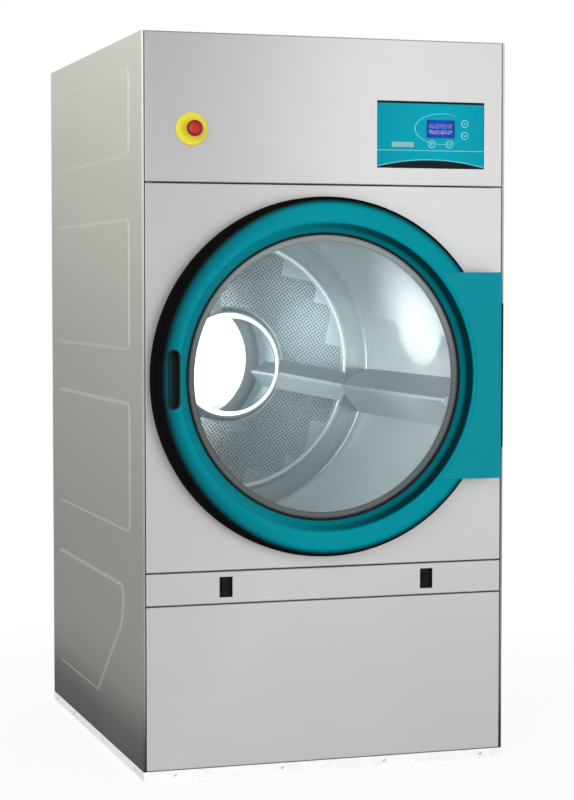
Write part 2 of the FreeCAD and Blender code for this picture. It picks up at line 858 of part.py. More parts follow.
def hinge_pieces():
    """Flat hinge plate on the door, its knuckle, the two fixed brackets, the pin and the magnetic catch."""
    axis_x, axis_y = dim.hinge_offset, front - dim.hinge_standoff
    gauge = dim.plate_gauge
    plate_front = door_face - gauge
    edge = axis_x - dim.plate_edge_gap
    half = dim.plate_half_height
    arc_edge = door_x + leg(dim.plate_arc_radius, half)
    flat_plate = new_body("hinge_plate_flat")
    pad(flat_plate, "XZ", (plate_front, door_face), (outline, [
        (edge, door_z - half), (edge, door_z + half),
        (arc_edge, door_z + half, dim.plate_arc_radius, door_x, door_z), (arc_edge, door_z - half),
    ]))
    past_ring = door_x + leg(dim.door_radius + dim.fit_gap, half - gauge)
    returns = [
        box("plate_return", (past_ring, edge), (door_face, door_face + dim.plate_return), span)
        for span in ((door_z - half, door_z - half + gauge), (door_z + half - gauge, door_z + half))
    ]
    publish(fuse("hinge_plate", flat_plate, *returns), "door_hinge_plate")

    bore = dim.pin_radius + dim.running_gap
    centre = (axis_x, axis_y)
    knuckle_span = about(door_z, dim.knuckle_half - dim.fit_gap)
    barrel = cylinder("knuckle_barrel", dim.barrel_radius, "z", knuckle_span, centre)
    web = box("knuckle_web", (axis_x - dim.barrel_radius, edge), (door_face, axis_y), knuckle_span)
    hole = cylinder("knuckle_bore", bore, "z", about(door_z, dim.knuckle_half), centre)
    publish(cut("knuckle", fuse("knuckle_solid", barrel, web), hole), "hinge_knuckle")

    reach = dim.knuckle_half + dim.bracket_length
    brackets = []
    for name, span in (
        ("upper_bracket", (door_z + dim.knuckle_half, door_z + reach)),
        ("lower_bracket", (door_z - reach, door_z - dim.knuckle_half)),
    ):
        strap_left = axis_x - dim.strap_offset
        solid = fuse(
            f"{name}_solid",
            cylinder(f"{name}_barrel", dim.barrel_radius, "z", span, centre),
            box(f"{name}_strap", (strap_left, strap_left + dim.strap_thickness), (axis_y, front), span),
            box(f"{name}_foot", (strap_left - dim.strap_thickness, strap_left + dim.bracket_foot_width),
                (front - dim.bracket_foot_gauge, front), span),
        )
        brackets.append(cut(name, solid, cylinder(f"{name}_bore", bore, "z", span, centre)))
    publish(group("brackets", *brackets), "hinge_brackets")
    publish(cylinder("pin", dim.pin_radius, "z", about(door_z, reach), centre), "hinge_pin")

    catch_outer = door_x - dim.door_radius + dim.door_wall + dim.pan_gauge
    publish(box("catch", (catch_outer, catch_outer + dim.catch_width), (pan_back + dim.fit_gap, front),
                about(door_z, dim.catch_length / 2)), "door_catch")


# Drum, tub and drive

TUB_SIDES = 8


def drum_pieces():
    """Drum shell, rear wall with its raised hub, three lifters with radial ribs, and the shaft."""
    radius, gauge = dim.drum_radius, dim.drum_gauge
    start, end = front + dim.drum_front, drum_back
    outer = radius + gauge
    lip = dim.drum_lip_radius
    publish(revolved("drum_shell", [
        (lip, start), (outer, start), (outer, end), (radius, end), (radius, start + gauge),
        (lip, start + gauge),
    ], door_x, door_z), "drum_shell")

    wall_gauge = dim.rear_wall_gauge
    wall_front = end - wall_gauge
    hub_top = wall_front - dim.hub_rise
    hub_back = hub_top + wall_gauge
    hub_inner = dim.hub_radius - wall_gauge
    seat = radius - dim.fit_gap
    publish(revolved("drum_rear_wall", [
        (0.0, hub_top), (dim.hub_radius, hub_top), (dim.hub_radius + dim.hub_flat, wall_front),
        (seat, wall_front), (seat, end), (hub_inner + dim.hub_flat, end), (hub_inner, hub_back),
        (0.0, hub_back),
    ], door_x, door_z), "drum_rear_wall")

    half, ridge, ridge_half = dim.lifter_half, dim.lifter_ridge, dim.lifter_ridge_half
    base_u = leg(seat, half)
    tip = radius - dim.lifter_height
    ridge_middle = tip + ridge
    ridge_u = ridge_middle - leg(ridge, ridge_half)
    body = new_body("drum_lifters")
    rib_foot = wall_front - dim.fit_gap
    rib_front = rib_foot - dim.rib_height
    bar_front = start + dim.lifter_front_gap
    bar = pad(body, "XZ", (bar_front, rib_foot), (outline, [
        (base_u, -half, seat, 0.0, 0.0), (base_u, half),
        (ridge_u, ridge_half, ridge, ridge_middle, 0.0), (ridge_u, -ridge_half),
    ]))
    skin = wall_gauge
    inner_u, inner_half, inner_ridge = base_u - skin, half - skin * 2, ridge_half + skin
    hollow = pocket(body, "XZ", (rib_foot, bar_front + skin), (outline, [
        (inner_u, -inner_half), (inner_u, inner_half),
        (ridge_middle, inner_ridge), (ridge_middle, -inner_ridge),
    ]))
    rib = pad(body, "XZ", (rib_front, rib_foot), (
        rectangle, (dim.hub_radius + dim.hub_flat, ridge_middle), both(dim.rib_half),
    ))
    polar(body, "Y", dim.lifter_count, bar, hollow, rib)
    place(body, door_x, 0.0, door_z)
    body.Placement.Rotation = FreeCAD.Rotation(FreeCAD.Vector(0, 1, 0), 0)
    bind(body, "Placement.Rotation.Angle", dim.lifter_tilt)
    publish(body, "drum_lifters")

    centre = (door_x, door_z)
    flange_back = hub_back + dim.shaft_flange_gauge
    flange = box("shaft_flange", about(door_x, dim.shaft_flange_half), (hub_back, flange_back),
                 about(door_z, dim.shaft_flange_half))
    bar = cylinder("shaft_bar", dim.shaft_radius, "y", (hub_back, pulley_back), centre)
    publish(fuse("shaft", flange, bar), "drum_shaft")


def tub_pieces():
    """Folded eight-sided tub, rear bulkhead with air windows, bearing block and its bearing."""
    flat_inner, flat_outer = tub_outer - dim.drum_gauge, tub_outer
    to_corner = 1.0 / math.cos(math.pi / TUB_SIDES)
    inner = (polygon, 0.0, 0.0, flat_inner * to_corner, TUB_SIDES)
    outer = (polygon, 0.0, 0.0, flat_outer * to_corner, TUB_SIDES)
    start, end = front + dim.mouth_depth - dim.drum_gauge, front + dim.bulkhead_place
    tub = new_body("tub_shell")
    mouth = dim.mouth_radius + dim.front_gauge + dim.fit_gap
    pad(tub, "XZ", (start, start + dim.drum_gauge), outer, (circle, 0.0, 0.0, mouth))
    pad(tub, "XZ", (start + dim.drum_gauge, end), outer, inner)
    gauge = dim.duct_gauge
    pocket(tub, "XY", (-flat_outer, -flat_inner), (
        rectangle, (-dim.chute_half + gauge - door_x, dim.chute_half - gauge - door_x),
        (front + dim.chute_front + gauge, front + dim.chute_back - gauge),
    ))
    publish(place(tub, door_x, 0.0, door_z), "tub_shell")

    bulkhead = new_body("rear_bulkhead")
    span = (end, bulkhead_back)
    low, high = -dim.bulkhead_bottom, dim.bulkhead_top
    pad(bulkhead, "XZ", span, (rectangle, (-inside_half - door_x, inside_half - door_x), (low, high)),
        (rectangle, both(dim.housing_half + dim.fit_gap), both(dim.housing_half + dim.fit_gap)))
    window = pocket(bulkhead, "XZ", span, (
        rectangle, both(dim.air_window_half_width), about(dim.air_window_circle, dim.air_window_half_height),
    ))
    polar(bulkhead, "Y", dim.air_window_count, window)
    publish(place(bulkhead, door_x, 0.0, door_z), "rear_bulkhead")

    boss = box("bearing_boss", about(door_x, dim.housing_half), (end, housing_back),
               about(door_z, dim.housing_half))
    flange_half = dim.housing_flange_half
    flange = box("bearing_flange", about(door_x, flange_half),
                 (bulkhead_back, bulkhead_back + dim.housing_flange_gauge), about(door_z, flange_half))
    bore = cylinder("bearing_bore", dim.bearing_radius + dim.running_gap, "y", (front, back),
                    (door_x, door_z))
    publish(cut("bearing_block", fuse("bearing_block_solid", boss, flange), bore), "bearing_housing")

    shaft = dim.shaft_radius + dim.running_gap
    low, high = end + dim.bearing_inset, housing_back - dim.bearing_inset
    publish(revolved("shaft_bearing", [
        (shaft, low), (dim.bearing_radius, low), (dim.bearing_radius, high), (shaft, high),
    ], door_x, door_z), "shaft_bearing")


def drive_pieces():
    """Spoked drum pulley, belt, geared motor on its stand and motor pulley."""
    radius, rim = dim.pulley_radius, dim.pulley_rim
    span = (pulley_front, pulley_back)
    middle = (pulley_front + pulley_back) / 2
    web = about(middle, dim.spoke_gauge / 2)
    body = new_body("drum_pulley")
    pad(body, "XZ", span, (circle, 0.0, 0.0, radius), (circle, 0.0, 0.0, radius - rim))
    pad(body, "XZ", span, (circle, 0.0, 0.0, dim.pulley_hub_radius),
        (circle, 0.0, 0.0, dim.shaft_radius + dim.running_gap))
    overlap = rim / 2
    spoke = pad(body, "XZ", web, (outline, [
        (dim.pulley_hub_radius - overlap, -dim.spoke_half), (radius - overlap, -dim.spoke_half * 2 / 3),
        (radius - overlap, dim.spoke_half * 2 / 3), (dim.pulley_hub_radius - overlap, dim.spoke_half),
    ]))
    polar(body, "Y", dim.spoke_count, spoke)
    publish(place(body, door_x, 0.0, door_z), "drum_pulley")

    motor_x, motor_z = dim.motor_offset, dim.motor_height
    gearbox_back = pulley_front - dim.pulley_gap
    gearbox_front = gearbox_back - dim.gearbox_length
    motor_front = gearbox_front - dim.motor_length
    motor_centre = (motor_x, motor_z)
    stand = about((motor_front + gearbox_back) / 2, dim.stand_depth / 2)
    foot = (dim.base_height, dim.base_height + dim.stand_gauge)
    plates = [box("motor_foot", about(motor_x, dim.stand_half), stand, foot)]
    for side in (-1, 1):
        outer = motor_x + dim.stand_half * side
        inner = outer - dim.stand_gauge * side
        across = (inner, outer) if side > 0 else (outer, inner)
        plates.append(box("motor_cheek", across, stand, (dim.base_height, motor_z)))
    solid = fuse(
        "motor_solid",
        cylinder("motor_can", dim.motor_radius, "y", (motor_front, gearbox_front), motor_centre),
        box("gearbox", about(motor_x, dim.gearbox_half), (gearbox_front, gearbox_back),
            about(motor_z, dim.gearbox_half)),
        *plates,
    )
    bore_front = gearbox_back - dim.motor_shaft_depth
    bore = cylinder("motor_bore", dim.motor_shaft_radius + dim.running_gap, "y",
                    (bore_front - dim.fit_gap, pulley_back), motor_centre)
    publish(cut("motor", solid, bore), "drum_motor")
    publish(fuse(
        "motor_wheel",
        cylinder("motor_wheel_rim", dim.motor_pulley_radius, "y", span, motor_centre),
        cylinder("motor_shaft", dim.motor_shaft_radius, "y", (bore_front, pulley_front), motor_centre),
    ), "motor_pulley")

    belt = new_body("drum_belt")
    sketch = new_sketch(belt, "XZ", middle - dim.belt_width / 2)
    for grow in (dim.fit_gap, dim.fit_gap + dim.belt_thickness):
        belt_loop(sketch, (door_x, door_z, radius + grow), (motor_x, motor_z, dim.motor_pulley_radius + grow))
    loop = belt.newObject("PartDesign::Pad", "belt_pad")
    loop.Profile = sketch
    loop.Reversed = True
    bind(loop, "Length", dim.belt_width)
    publish(belt, "drum_belt")


def belt_loop(sketch, large, small):
    """Draw an open belt about two wheels, each (u, v, radius): two arcs joined by two tangent runs."""
    normal = FreeCAD.Vector(0, 0, 1)
    centres = [FreeCAD.Vector(wheel[0].value, wheel[1].value, 0) for wheel in (large, small)]
    radii = [wheel[2].value for wheel in (large, small)]
    line = centres[1] - centres[0]
    heading = math.atan2(line.y, line.x)
    spread = math.acos((radii[0] - radii[1]) / line.Length)
    left, right = heading + spread, heading - spread
    circles = [Part.Circle(centre, normal, reach) for centre, reach in zip(centres, radii)]
    big = sketch.addGeometry(Part.ArcOfCircle(circles[0], left, right + 2 * math.pi))
    little = sketch.addGeometry(Part.ArcOfCircle(circles[1], right, left))
    runs = []
    for angle in (left, right):
        way = FreeCAD.Vector(math.cos(angle), math.sin(angle), 0)
        ends = [centre + way * reach for centre, reach in zip(centres, radii)]
        runs.append(sketch.addGeometry(Part.LineSegment(*ends)))
    sketch.addConstraint(Sketcher.Constraint("Tangent", big, START, runs[0], START))
    sketch.addConstraint(Sketcher.Constraint("Tangent", little, END, runs[0], END))
    sketch.addConstraint(Sketcher.Constraint("Tangent", big, END, runs[1], START))
    sketch.addConstraint(Sketcher.Constraint("Tangent", little, START, runs[1], END))
    for arc, wheel in ((big, large), (little, small)):
        fix_point(sketch, arc, MIDDLE, wheel[0], wheel[1])
        constrain(sketch, "Radius", (arc,), wheel[2])


# Air path

HEATER_STRIPS = 4


def heater_pieces():
    """Sheet duct on top of the bulkhead with finned heating strips across it."""
    wall = dim.duct_gauge
    half = dim.heater_half
    start, end = front + dim.heater_front, rear_face - dim.side_gauge - dim.fit_gap
    low = bulkhead_head
    high = low + dim.heater_height
    shell = cut(
        "heater_shell",
        box("heater_block", about(door_x, half), (start, end), (low, high)),
        box("heater_hollow", about(door_x, half - wall), (start + wall, end + wall),
            (low + wall, high - wall)),
        box("heater_outlet", about(door_x, half - dim.grille_border * 2),
            (bulkhead_back + dim.grille_border, end - dim.grille_border), (low - wall, low + wall * 2)),
    )
    publish(shell, "heater_box")

    strips = []
    across = about(door_x, half - wall - dim.fit_gap)
    for index in range(HEATER_STRIPS):
        strip_front = start + dim.heater_strip_pitch * (index + 1)
        strips.append(box("heater_strip", across, (strip_front, strip_front + dim.heater_strip_gauge),
                          (low + dim.heater_strip_inset, high - dim.heater_strip_inset)))
    publish(group("heater_strips", *strips), "heater_elements")


def filter_pieces():
    """Air chute below the tub, filter housing, and the drawer with its frame and screen."""
    wall = dim.duct_gauge
    deck = drawer_top
    along = (front + dim.chute_front, front + dim.chute_back)
    chute_span = (deck, door_z - tub_outer - dim.fit_gap)
    chute = cut(
        "chute",
        box("chute_block", both(dim.chute_half), along, chute_span),
        box("chute_hollow", both(dim.chute_half - wall), (along[0] + wall, along[1] - wall),
            (chute_span[0] - wall, chute_span[1] + wall)),
    )
    publish(chute, "air_chute")

    half = dim.drawer_half
    floor = drawer_bottom + dim.seam / 2 + dim.front_gauge
    inner_half = half + dim.fit_gap
    housing_span = (inside_front, front + dim.filter_housing_back)
    block = fuse(
        "filter_block",
        box("filter_deck", both(inside_half), housing_span, (deck - wall, deck)),
        box("filter_case", both(inner_half + wall), housing_span, (floor - wall, deck)),
    )
    hollow = box("filter_hollow", both(inner_half), (front, housing_span[1] - wall), (floor, deck - wall))
    inlet = box("filter_inlet", both(dim.chute_half - wall), (along[0] + wall, along[1] - wall),
                (floor + wall, deck + wall))
    outlet = box("filter_outlet", both(dim.chute_half * 2), along, (floor - wall * 2, floor + wall))
    publish(cut("filter_duct", block, hollow, inlet, outlet), "filter_housing")

    half_seam = dim.seam / 2
    strip = tray("drawer_tray", (drawer_bottom + half_seam, deck - half_seam),
                 dim.front_depth - dim.fit_gap)
    through = (front - dim.front_gauge, front + dim.front_gauge * 2)
    holes = [
        box("latch_hole", about(x, dim.latch_half_width + dim.fit_gap), through,
            about(latch_z, dim.latch_half_height + dim.fit_gap))
        for x in (-dim.latch_offset, dim.latch_offset)
    ]
    publish(cut("drawer_strip", strip, *holes), "drawer_front")

    thick = dim.drawer_wall
    frame_front = front + dim.latch_depth + dim.fit_gap
    frame_back = frame_front + dim.drawer_length
    frame_low = floor + dim.fit_gap
    frame_high = frame_low + dim.drawer_wall_height
    inner_front = frame_front + thick
    publish(cut(
        "filter_frame_cut",
        box("filter_frame_block", both(half), (frame_front, frame_back), (frame_low, frame_high)),
        box("filter_frame_hollow", both(half - thick), (inner_front, frame_back - thick),
            (frame_low - thick, frame_high + thick)),
    ), "filter_frame")
    screen_low = frame_low + dim.screen_height
    gap = thick + dim.fit_gap
    publish(box("screen", both(half - gap), (inner_front + dim.fit_gap, frame_back - gap),
                (screen_low, screen_low + dim.screen_gauge)), "filter_screen")


def latch_pieces():
    """Two recessed latch cups in the drawer front, each with a thumb slider."""
    wall = dim.latch_wall
    cups = []
    for name, x in (("left", -dim.latch_offset), ("right", dim.latch_offset)):
        half_x, half_z = dim.latch_half_width, dim.latch_half_height
        cup_span = (front, front + dim.latch_depth)
        block = box(f"{name}_cup_block", about(x, half_x), cup_span, about(latch_z, half_z))
        hollow = box(f"{name}_cup_hollow", about(x, half_x - wall), (front - wall, cup_span[1] - wall),
                     about(latch_z, half_z - wall))
        cups.append(cut(f"{name}_cup", block, hollow))
        floor = cup_span[1] - wall - dim.fit_gap
        face = floor - dim.slider_thickness
        slider = box(f"{name}_slider_block", about(x, dim.slider_half_width), (face, floor),
                     about(latch_z, dim.slider_half_height))
        groove = box(f"{name}_slider_groove", about(x, dim.slider_groove_half),
                     (front, face + dim.slider_groove_half), about(latch_z, half_z))
        publish(cut(f"{name}_slider", slider, groove), f"latch_slider_{name}")
    publish(group("cups", *cups), "latch_cups")


spigot_height = dim.fan_height + dim.volute_radius + dim.volute_step * 5 / 2 - dim.spigot_radius


def volute(sketch, grow, outlet_end):
    """Draw a scroll of three widening quarter arcs that runs out into a straight outlet."""
    y, z, step = front + dim.fan_place, dim.fan_height, dim.volute_step
    near, far = -step / 2, step / 2
    small = dim.volute_radius + grow
    middle, large = small + step, small + step * 2
    outline(sketch, [
        (outlet_end, z + near - grow),
        (y + near + leg(small, grow), z + near - grow, small, y + near, z + near),
        (y + near, z + near - small, middle, y + near, z + far),
        (y + near - middle, z + far, large, y + far, z + far),
        (y + far, z + far + large), (outlet_end, z + far + large),
    ])


def fan_pieces():
    """Scroll housing on a pedestal, bladed impeller on its shaft, and the fan motor."""
    wall = dim.duct_gauge
    x, y, z = dim.fan_offset, front + dim.fan_place, dim.fan_height
    inside = about(x, dim.fan_half_width)
    outside = about(x, dim.fan_half_width + wall)
    outlet_end = rear_face - dim.fit_gap * 2 - dim.spigot_flange_gauge
    housing = new_body("fan_housing")
    pad(housing, "YZ", outside, (volute, wall, outlet_end))
    pad(housing, "YZ", about(x, dim.fan_half_width - wall), (
        rectangle, about(y, dim.fan_stand_half), (dim.base_height, z - dim.volute_radius / 2),
    ))
    pocket(housing, "YZ", inside, (volute, 0.0, outlet_end + wall))
    pocket(housing, "YZ", (outside[0], inside[0]), (circle, y, z, dim.fan_inlet_radius))
    pocket(housing, "YZ", (inside[1], outside[1]), (circle, y, z, dim.fan_hub_radius))
    publish(housing, "fan_housing")

    radius, gauge = dim.impeller_radius, dim.impeller_gauge
    wheel_back = inside[1] - gauge * 2
    wheel_front = wheel_back - dim.impeller_width
    motor_front = outside[1] + gauge
    body = new_body("fan_impeller")
    pad(body, "YZ", (wheel_back - gauge, wheel_back), (circle, 0.0, 0.0, radius))
    pad(body, "YZ", (wheel_back, motor_front), (circle, 0.0, 0.0, dim.fan_hub_radius - gauge))
    shaft_end = motor_front + dim.fan_shaft_depth
    pad(body, "YZ", (motor_front, shaft_end), (circle, 0.0, 0.0, dim.fan_shaft_radius))
    thick, lead, curve = dim.blade_gauge, dim.blade_lead, dim.blade_curve
    foot, tip = dim.blade_root_radius, radius - lead
    blade = pad(body, "YZ", (wheel_front, wheel_back - gauge), (outline, [
        (foot, 0.0, curve, foot, curve), (tip, lead),
        (tip - thick, lead + thick, curve - thick, foot, curve), (foot, thick),
    ]))
    polar(body, "X", dim.blade_count, blade)
    publish(place(body, 0.0, y, z), "fan_impeller")

    motor_end = motor_front + dim.fan_motor_length
    centre = (y, z)
    foot = (dim.base_height, dim.base_height + dim.stand_gauge)
    stand_end = motor_end - dim.fan_motor_radius
    plates = [box("fan_motor_foot", (motor_front, stand_end), about(y, dim.fan_stand_half), foot)]
    for start in (motor_front, stand_end - dim.stand_gauge):
        web = (start, start + dim.stand_gauge)
        plates.append(box("fan_motor_web", web, about(y, dim.fan_motor_radius / 2), (dim.base_height, z)))
    can = cylinder("fan_motor_can", dim.fan_motor_radius, "x", (motor_front, motor_end), centre)
    bore = cylinder("fan_motor_bore", dim.fan_shaft_radius + dim.running_gap, "x",
                    (motor_front - wall, shaft_end + dim.fit_gap), centre)
    publish(cut("fan_drive", fuse("fan_motor_solid", can, *plates), bore), "fan_motor")


# Controls

KEY_SIDES = 16


def control_pieces():
    """Control housing with the board, the overlay, the display and four keys."""
    across, up = (dim.overlay_left, dim.overlay_right), overlay_span
    gap, wall, ledge = dim.fit_gap, dim.control_wall, dim.control_ledge
    mount = front + dim.front_gauge + gap
    overlay_front = front + dim.overlay_recess
    overlay_back = overlay_front + dim.overlay_gauge
    seat = overlay_back + gap
    board_front = seat + dim.board_gap
    board_back = board_front + dim.board_gauge
    board_seat = board_back + gap
    case_back = mount + dim.control_depth

    def shrink(span, amount):
        return (span[0] + amount, span[1] - amount)

    publish(cut(
        "control_case",
        box("control_block", shrink(across, -wall), (mount, case_back), shrink(up, -wall)),
        box("overlay_room", across, (front, seat), up),
        box("board_room", shrink(across, ledge), (seat, board_seat), shrink(up, ledge)),
        box("case_hollow", shrink(across, ledge * 2), (board_seat, case_back - dim.control_back),
            shrink(up, ledge * 2)),
    ), "control_housing")
    board = box("board", shrink(across, ledge + gap), (board_front, board_back), shrink(up, ledge + gap))
    publish(board, "control_board")

    keys = [
        ("key_upper_right", dim.menu_key_offset, fascia_seam + dim.upper_menu_height),
        ("key_lower_right", dim.menu_key_offset, fascia_seam + dim.lower_menu_height),
        ("key_bottom_left", dim.left_key_offset, fascia_seam + dim.bottom_key_height),
        ("key_bottom_right", dim.right_key_offset, fascia_seam + dim.bottom_key_height),
    ]
    screen_x = (dim.screen_left, dim.screen_right)
    screen_z = (fascia_seam + dim.screen_bottom, fascia_seam + dim.screen_top)
    sheet_body = new_body("control_overlay")
    holes = [(polygon, x, z, dim.key_radius + gap, KEY_SIDES) for name, x, z in keys]
    pad(sheet_body, "XZ", (overlay_front, overlay_back), (rectangle, shrink(across, gap), shrink(up, gap)),
        (rectangle, screen_x, screen_z), *holes)
    publish(sheet_body, "control_overlay")
    publish(box("display", shrink(screen_x, gap), (overlay_front, board_front - gap), shrink(screen_z, gap)),
            "display_window")
    key_span = (overlay_front - dim.key_proud, board_front - dim.key_rest_gap)
    for name, x, z in keys:
        key = new_body(name)
        pad(key, "XZ", key_span, (polygon, x, z, dim.key_radius, KEY_SIDES))
        publish(key, name)


def stop_pieces():
    """Emergency stop: yellow collar, contact block with its neck, plunger and mushroom head."""
    x, z = dim.stop_offset, stop_z
    neck, gap = dim.stop_neck_radius, dim.fit_gap
    collar_front = front - dim.stop_collar_gauge
    publish(revolved("estop_collar", [
        (neck + gap, collar_front), (dim.stop_collar_radius, collar_front), (dim.stop_collar_radius, front),
        (neck + gap, front),
    ], x, z), "estop_collar")

    block_front = front + dim.front_gauge + gap
    block_back = block_front + dim.stop_block_depth
    solid = fuse(
        "stop_block_solid",
        box("stop_block", about(x, dim.stop_block_half), (block_front, block_back),
            about(z, dim.stop_block_half)),
        cylinder("stop_neck", neck, "y", (front - dim.stop_neck_proud, block_back), (x, z)),
    )
    stem_back = front + dim.stop_stem_depth
    hole = cylinder("stop_bore", dim.stop_stem_radius + dim.running_gap, "y",
                    (front - dim.stop_head_front, stem_back + dim.stop_neck_proud), (x, z))
    publish(cut("stop_contacts", solid, hole), "estop_contact_block")

    head_back = front - dim.stop_head_back
    head_front = front - dim.stop_head_front
    stem = cylinder("stop_stem", dim.stop_stem_radius, "y", (head_back, stem_back), (x, z))
    publish(stem, "estop_plunger")

    head, rim = dim.stop_head_radius, dim.stop_head_edge
    publish(revolved("estop_head", [
        (0.0, head_front), (head - rim, head_front), (head, head_front + rim), (head, head_back - gap),
        (0.0, head_back - gap),
    ], x, z), "estop_head")


def check_and_write():
    """Stop on any failed object, then write one file for each sub-part."""
    doc.recompute()
    failed = [item.Label for item in doc.Objects if "Invalid" in item.State or "Error" in item.State]
    if failed:
        raise RuntimeError(f"objects failed to build: {failed}")
    bad = [item.Label for item in nodes if item.Shape.isNull() or not item.Shape.isValid()]
    if bad:
        raise RuntimeError(f"sub-parts without a valid shape: {bad}")
    os.makedirs("parts", exist_ok=True)
    for item in nodes:
        item.Shape.exportStep(os.path.join("parts", f"{item.Label}.step"))


base_frame()
side_panel("left_side_panel", -1)
side_panel("right_side_panel", 1)
top_panel()
front_panels()
rear_panels()
door_pieces()
hinge_pieces()
drum_pieces()
tub_pieces()
drive_pieces()
heater_pieces()
filter_pieces()
latch_pieces()
fan_pieces()
control_pieces()
stop_pieces()
check_and_write()
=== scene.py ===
"""Dressing of an industrial tumble dryer: its visible sheets, door, drum, controls, finishes and studio.

Run as a script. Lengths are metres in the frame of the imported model: +Z up, the front faces -Y.
"""

import math
from contextlib import contextmanager
from functools import reduce

import bmesh
import bpy
from bpy.props import FloatProperty, FloatVectorProperty, IntProperty, PointerProperty
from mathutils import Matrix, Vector


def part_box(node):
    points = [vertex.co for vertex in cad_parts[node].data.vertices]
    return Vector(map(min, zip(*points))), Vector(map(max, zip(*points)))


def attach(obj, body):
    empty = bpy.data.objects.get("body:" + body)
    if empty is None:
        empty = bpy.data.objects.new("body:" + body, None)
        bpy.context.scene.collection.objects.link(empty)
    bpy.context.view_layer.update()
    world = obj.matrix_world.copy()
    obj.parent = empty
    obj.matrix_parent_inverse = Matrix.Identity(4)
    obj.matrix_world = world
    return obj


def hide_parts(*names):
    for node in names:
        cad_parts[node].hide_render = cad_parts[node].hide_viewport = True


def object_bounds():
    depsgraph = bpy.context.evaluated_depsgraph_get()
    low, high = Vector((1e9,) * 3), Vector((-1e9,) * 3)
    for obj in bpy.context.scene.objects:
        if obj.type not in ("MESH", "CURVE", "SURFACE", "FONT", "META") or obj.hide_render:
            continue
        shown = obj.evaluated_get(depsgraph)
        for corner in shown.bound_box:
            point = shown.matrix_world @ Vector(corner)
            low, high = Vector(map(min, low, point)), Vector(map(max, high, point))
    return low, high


bl_info = {
    "name": "Tumble dryer dressing",
    "version": (1, 0, 0),
    "blender": (4, 5, 0),
    "location": "View3D > Sidebar > Dryer",
    "description": "Builds the visible pieces, the finishes and the studio of an industrial tumble dryer",
    "category": "Object",
}

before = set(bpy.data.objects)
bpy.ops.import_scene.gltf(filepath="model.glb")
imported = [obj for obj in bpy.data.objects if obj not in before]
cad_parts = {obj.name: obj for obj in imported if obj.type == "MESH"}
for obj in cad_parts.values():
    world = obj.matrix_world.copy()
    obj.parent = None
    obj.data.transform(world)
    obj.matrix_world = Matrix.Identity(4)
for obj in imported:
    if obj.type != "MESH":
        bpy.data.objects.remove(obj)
cad_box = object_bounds()


# Places read from the frame

def centre_of(node):
    """Return the middle of a node as (x, z)."""
    low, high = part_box(node)
    return ((low.x + high.x) / 2, (low.z + high.z) / 2)


def radius_of(node):
    """Return half the width of a node."""
    low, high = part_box(node)
    return (high.x - low.x) / 2


def latch_boxes():
    """Return the corners of the left and the right latch cup."""
    low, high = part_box("latch_cups")
    return [(Vector((left, low.y, low.z)), Vector((left + LATCH_WIDTH, high.y, high.z)))
            for left in (low.x, high.x - LATCH_WIDTH)]


FRONT =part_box("control_fascia")[0].y
HEIGHT = cad_box[1].z
DOOR_FACE, DOOR_BACK = (corner.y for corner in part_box("door_ring"))
DOOR = centre_of("door_ring")
DOOR_X, DOOR_Z = DOOR
DOOR_RADIUS = radius_of("door_ring")

# Fixed sizes and tolerances

FULL_TURN = 2 * math.pi
TINY = 1e-5
SEAM = 5e-5
NEAR = 1e-4
FACING = 0.9
SHARP = math.radians(40.0)
BEND_STEPS = 6
HALF_WIDTH = 0.470
MOUTH_RADIUS = 0.3980
LATCH_WIDTH = 0.033
CUP_WALL = 0.0016
LIFTERS = 3
LIFTER_TILT = math.radians(11.0)
KEY_RING = 0.0088
KEYS = {
    "key_upper_right": ("upper_menu_key", (0.0, 1.0)),
    "key_lower_right": ("lower_menu_key", (0.0, -1.0)),
    "key_bottom_left": ("left_bottom_key", (-1.0, 0.0)),
    "key_bottom_right": ("right_bottom_key", (1.0, 0.0)),
}

# Fixed values of the finishes; tones are (share of the height, grey) of a painted shade that darkens the grey
# sheets towards the floor

PRESSED_EDGE = "pressed_edge"
SHADED_FACE = "leading_face"
PAINT_GLOSS = 0.05
FINE_BUMP = (0.08, 0.0003)
PEEL_BUMP = (0.03, 0.0003)
PRINT_LINE = (0.0005, 0.0009)
BLACK = (0.0, 0.0, 0.0)
WHITE = (1.0, 1.0, 1.0)
SIDE_TOP = 1.57
SIDE_SHADE_TONES = ((0.0, 0.02), (0.05, 0.08), (0.11, 0.28), (0.18, 0.35), (0.32, 0.37), (0.59, 0.52), (0.84, 0.76),
              (1.0, 0.94))
COVER_SHADE_TONES = ((0.0, 0.38), (0.25, 0.55), (1.0, 0.74))

# Lamps as name, place, target, size and spread

LAMPS = (
    ("key", (1.35, -4.7, 1.28), (0.0, -0.2, 1.10), 2.5, math.pi),
    ("fill", (-3.2, -4.8, 2.45), (0.0, 0.0, 1.0), 4.8, math.pi),
    ("back", (2.6, 4.6, 3.0), (0.0, 0.0, 0.9), 3.0, math.pi),
    ("drum", (-3.0, -3.6, 1.0), (0.42, -0.12, 1.10), 0.14, math.radians(5.0)),
)


# Sizes, colours and studio settings that a user would change

def amount(name, description, default, **more):
    """Return a number property."""
    return FloatProperty(name=name, description=description, default=default, **more)


def length(name, description, default):
    """Return a length property."""
    return amount(name, description, default, unit="LENGTH", precision=4)


def colour(name, description, default):
    """Return a colour property."""
    return FloatVectorProperty(name=name, description=description, default=default, subtype="COLOR", min=0.0,
                               max=1.0)


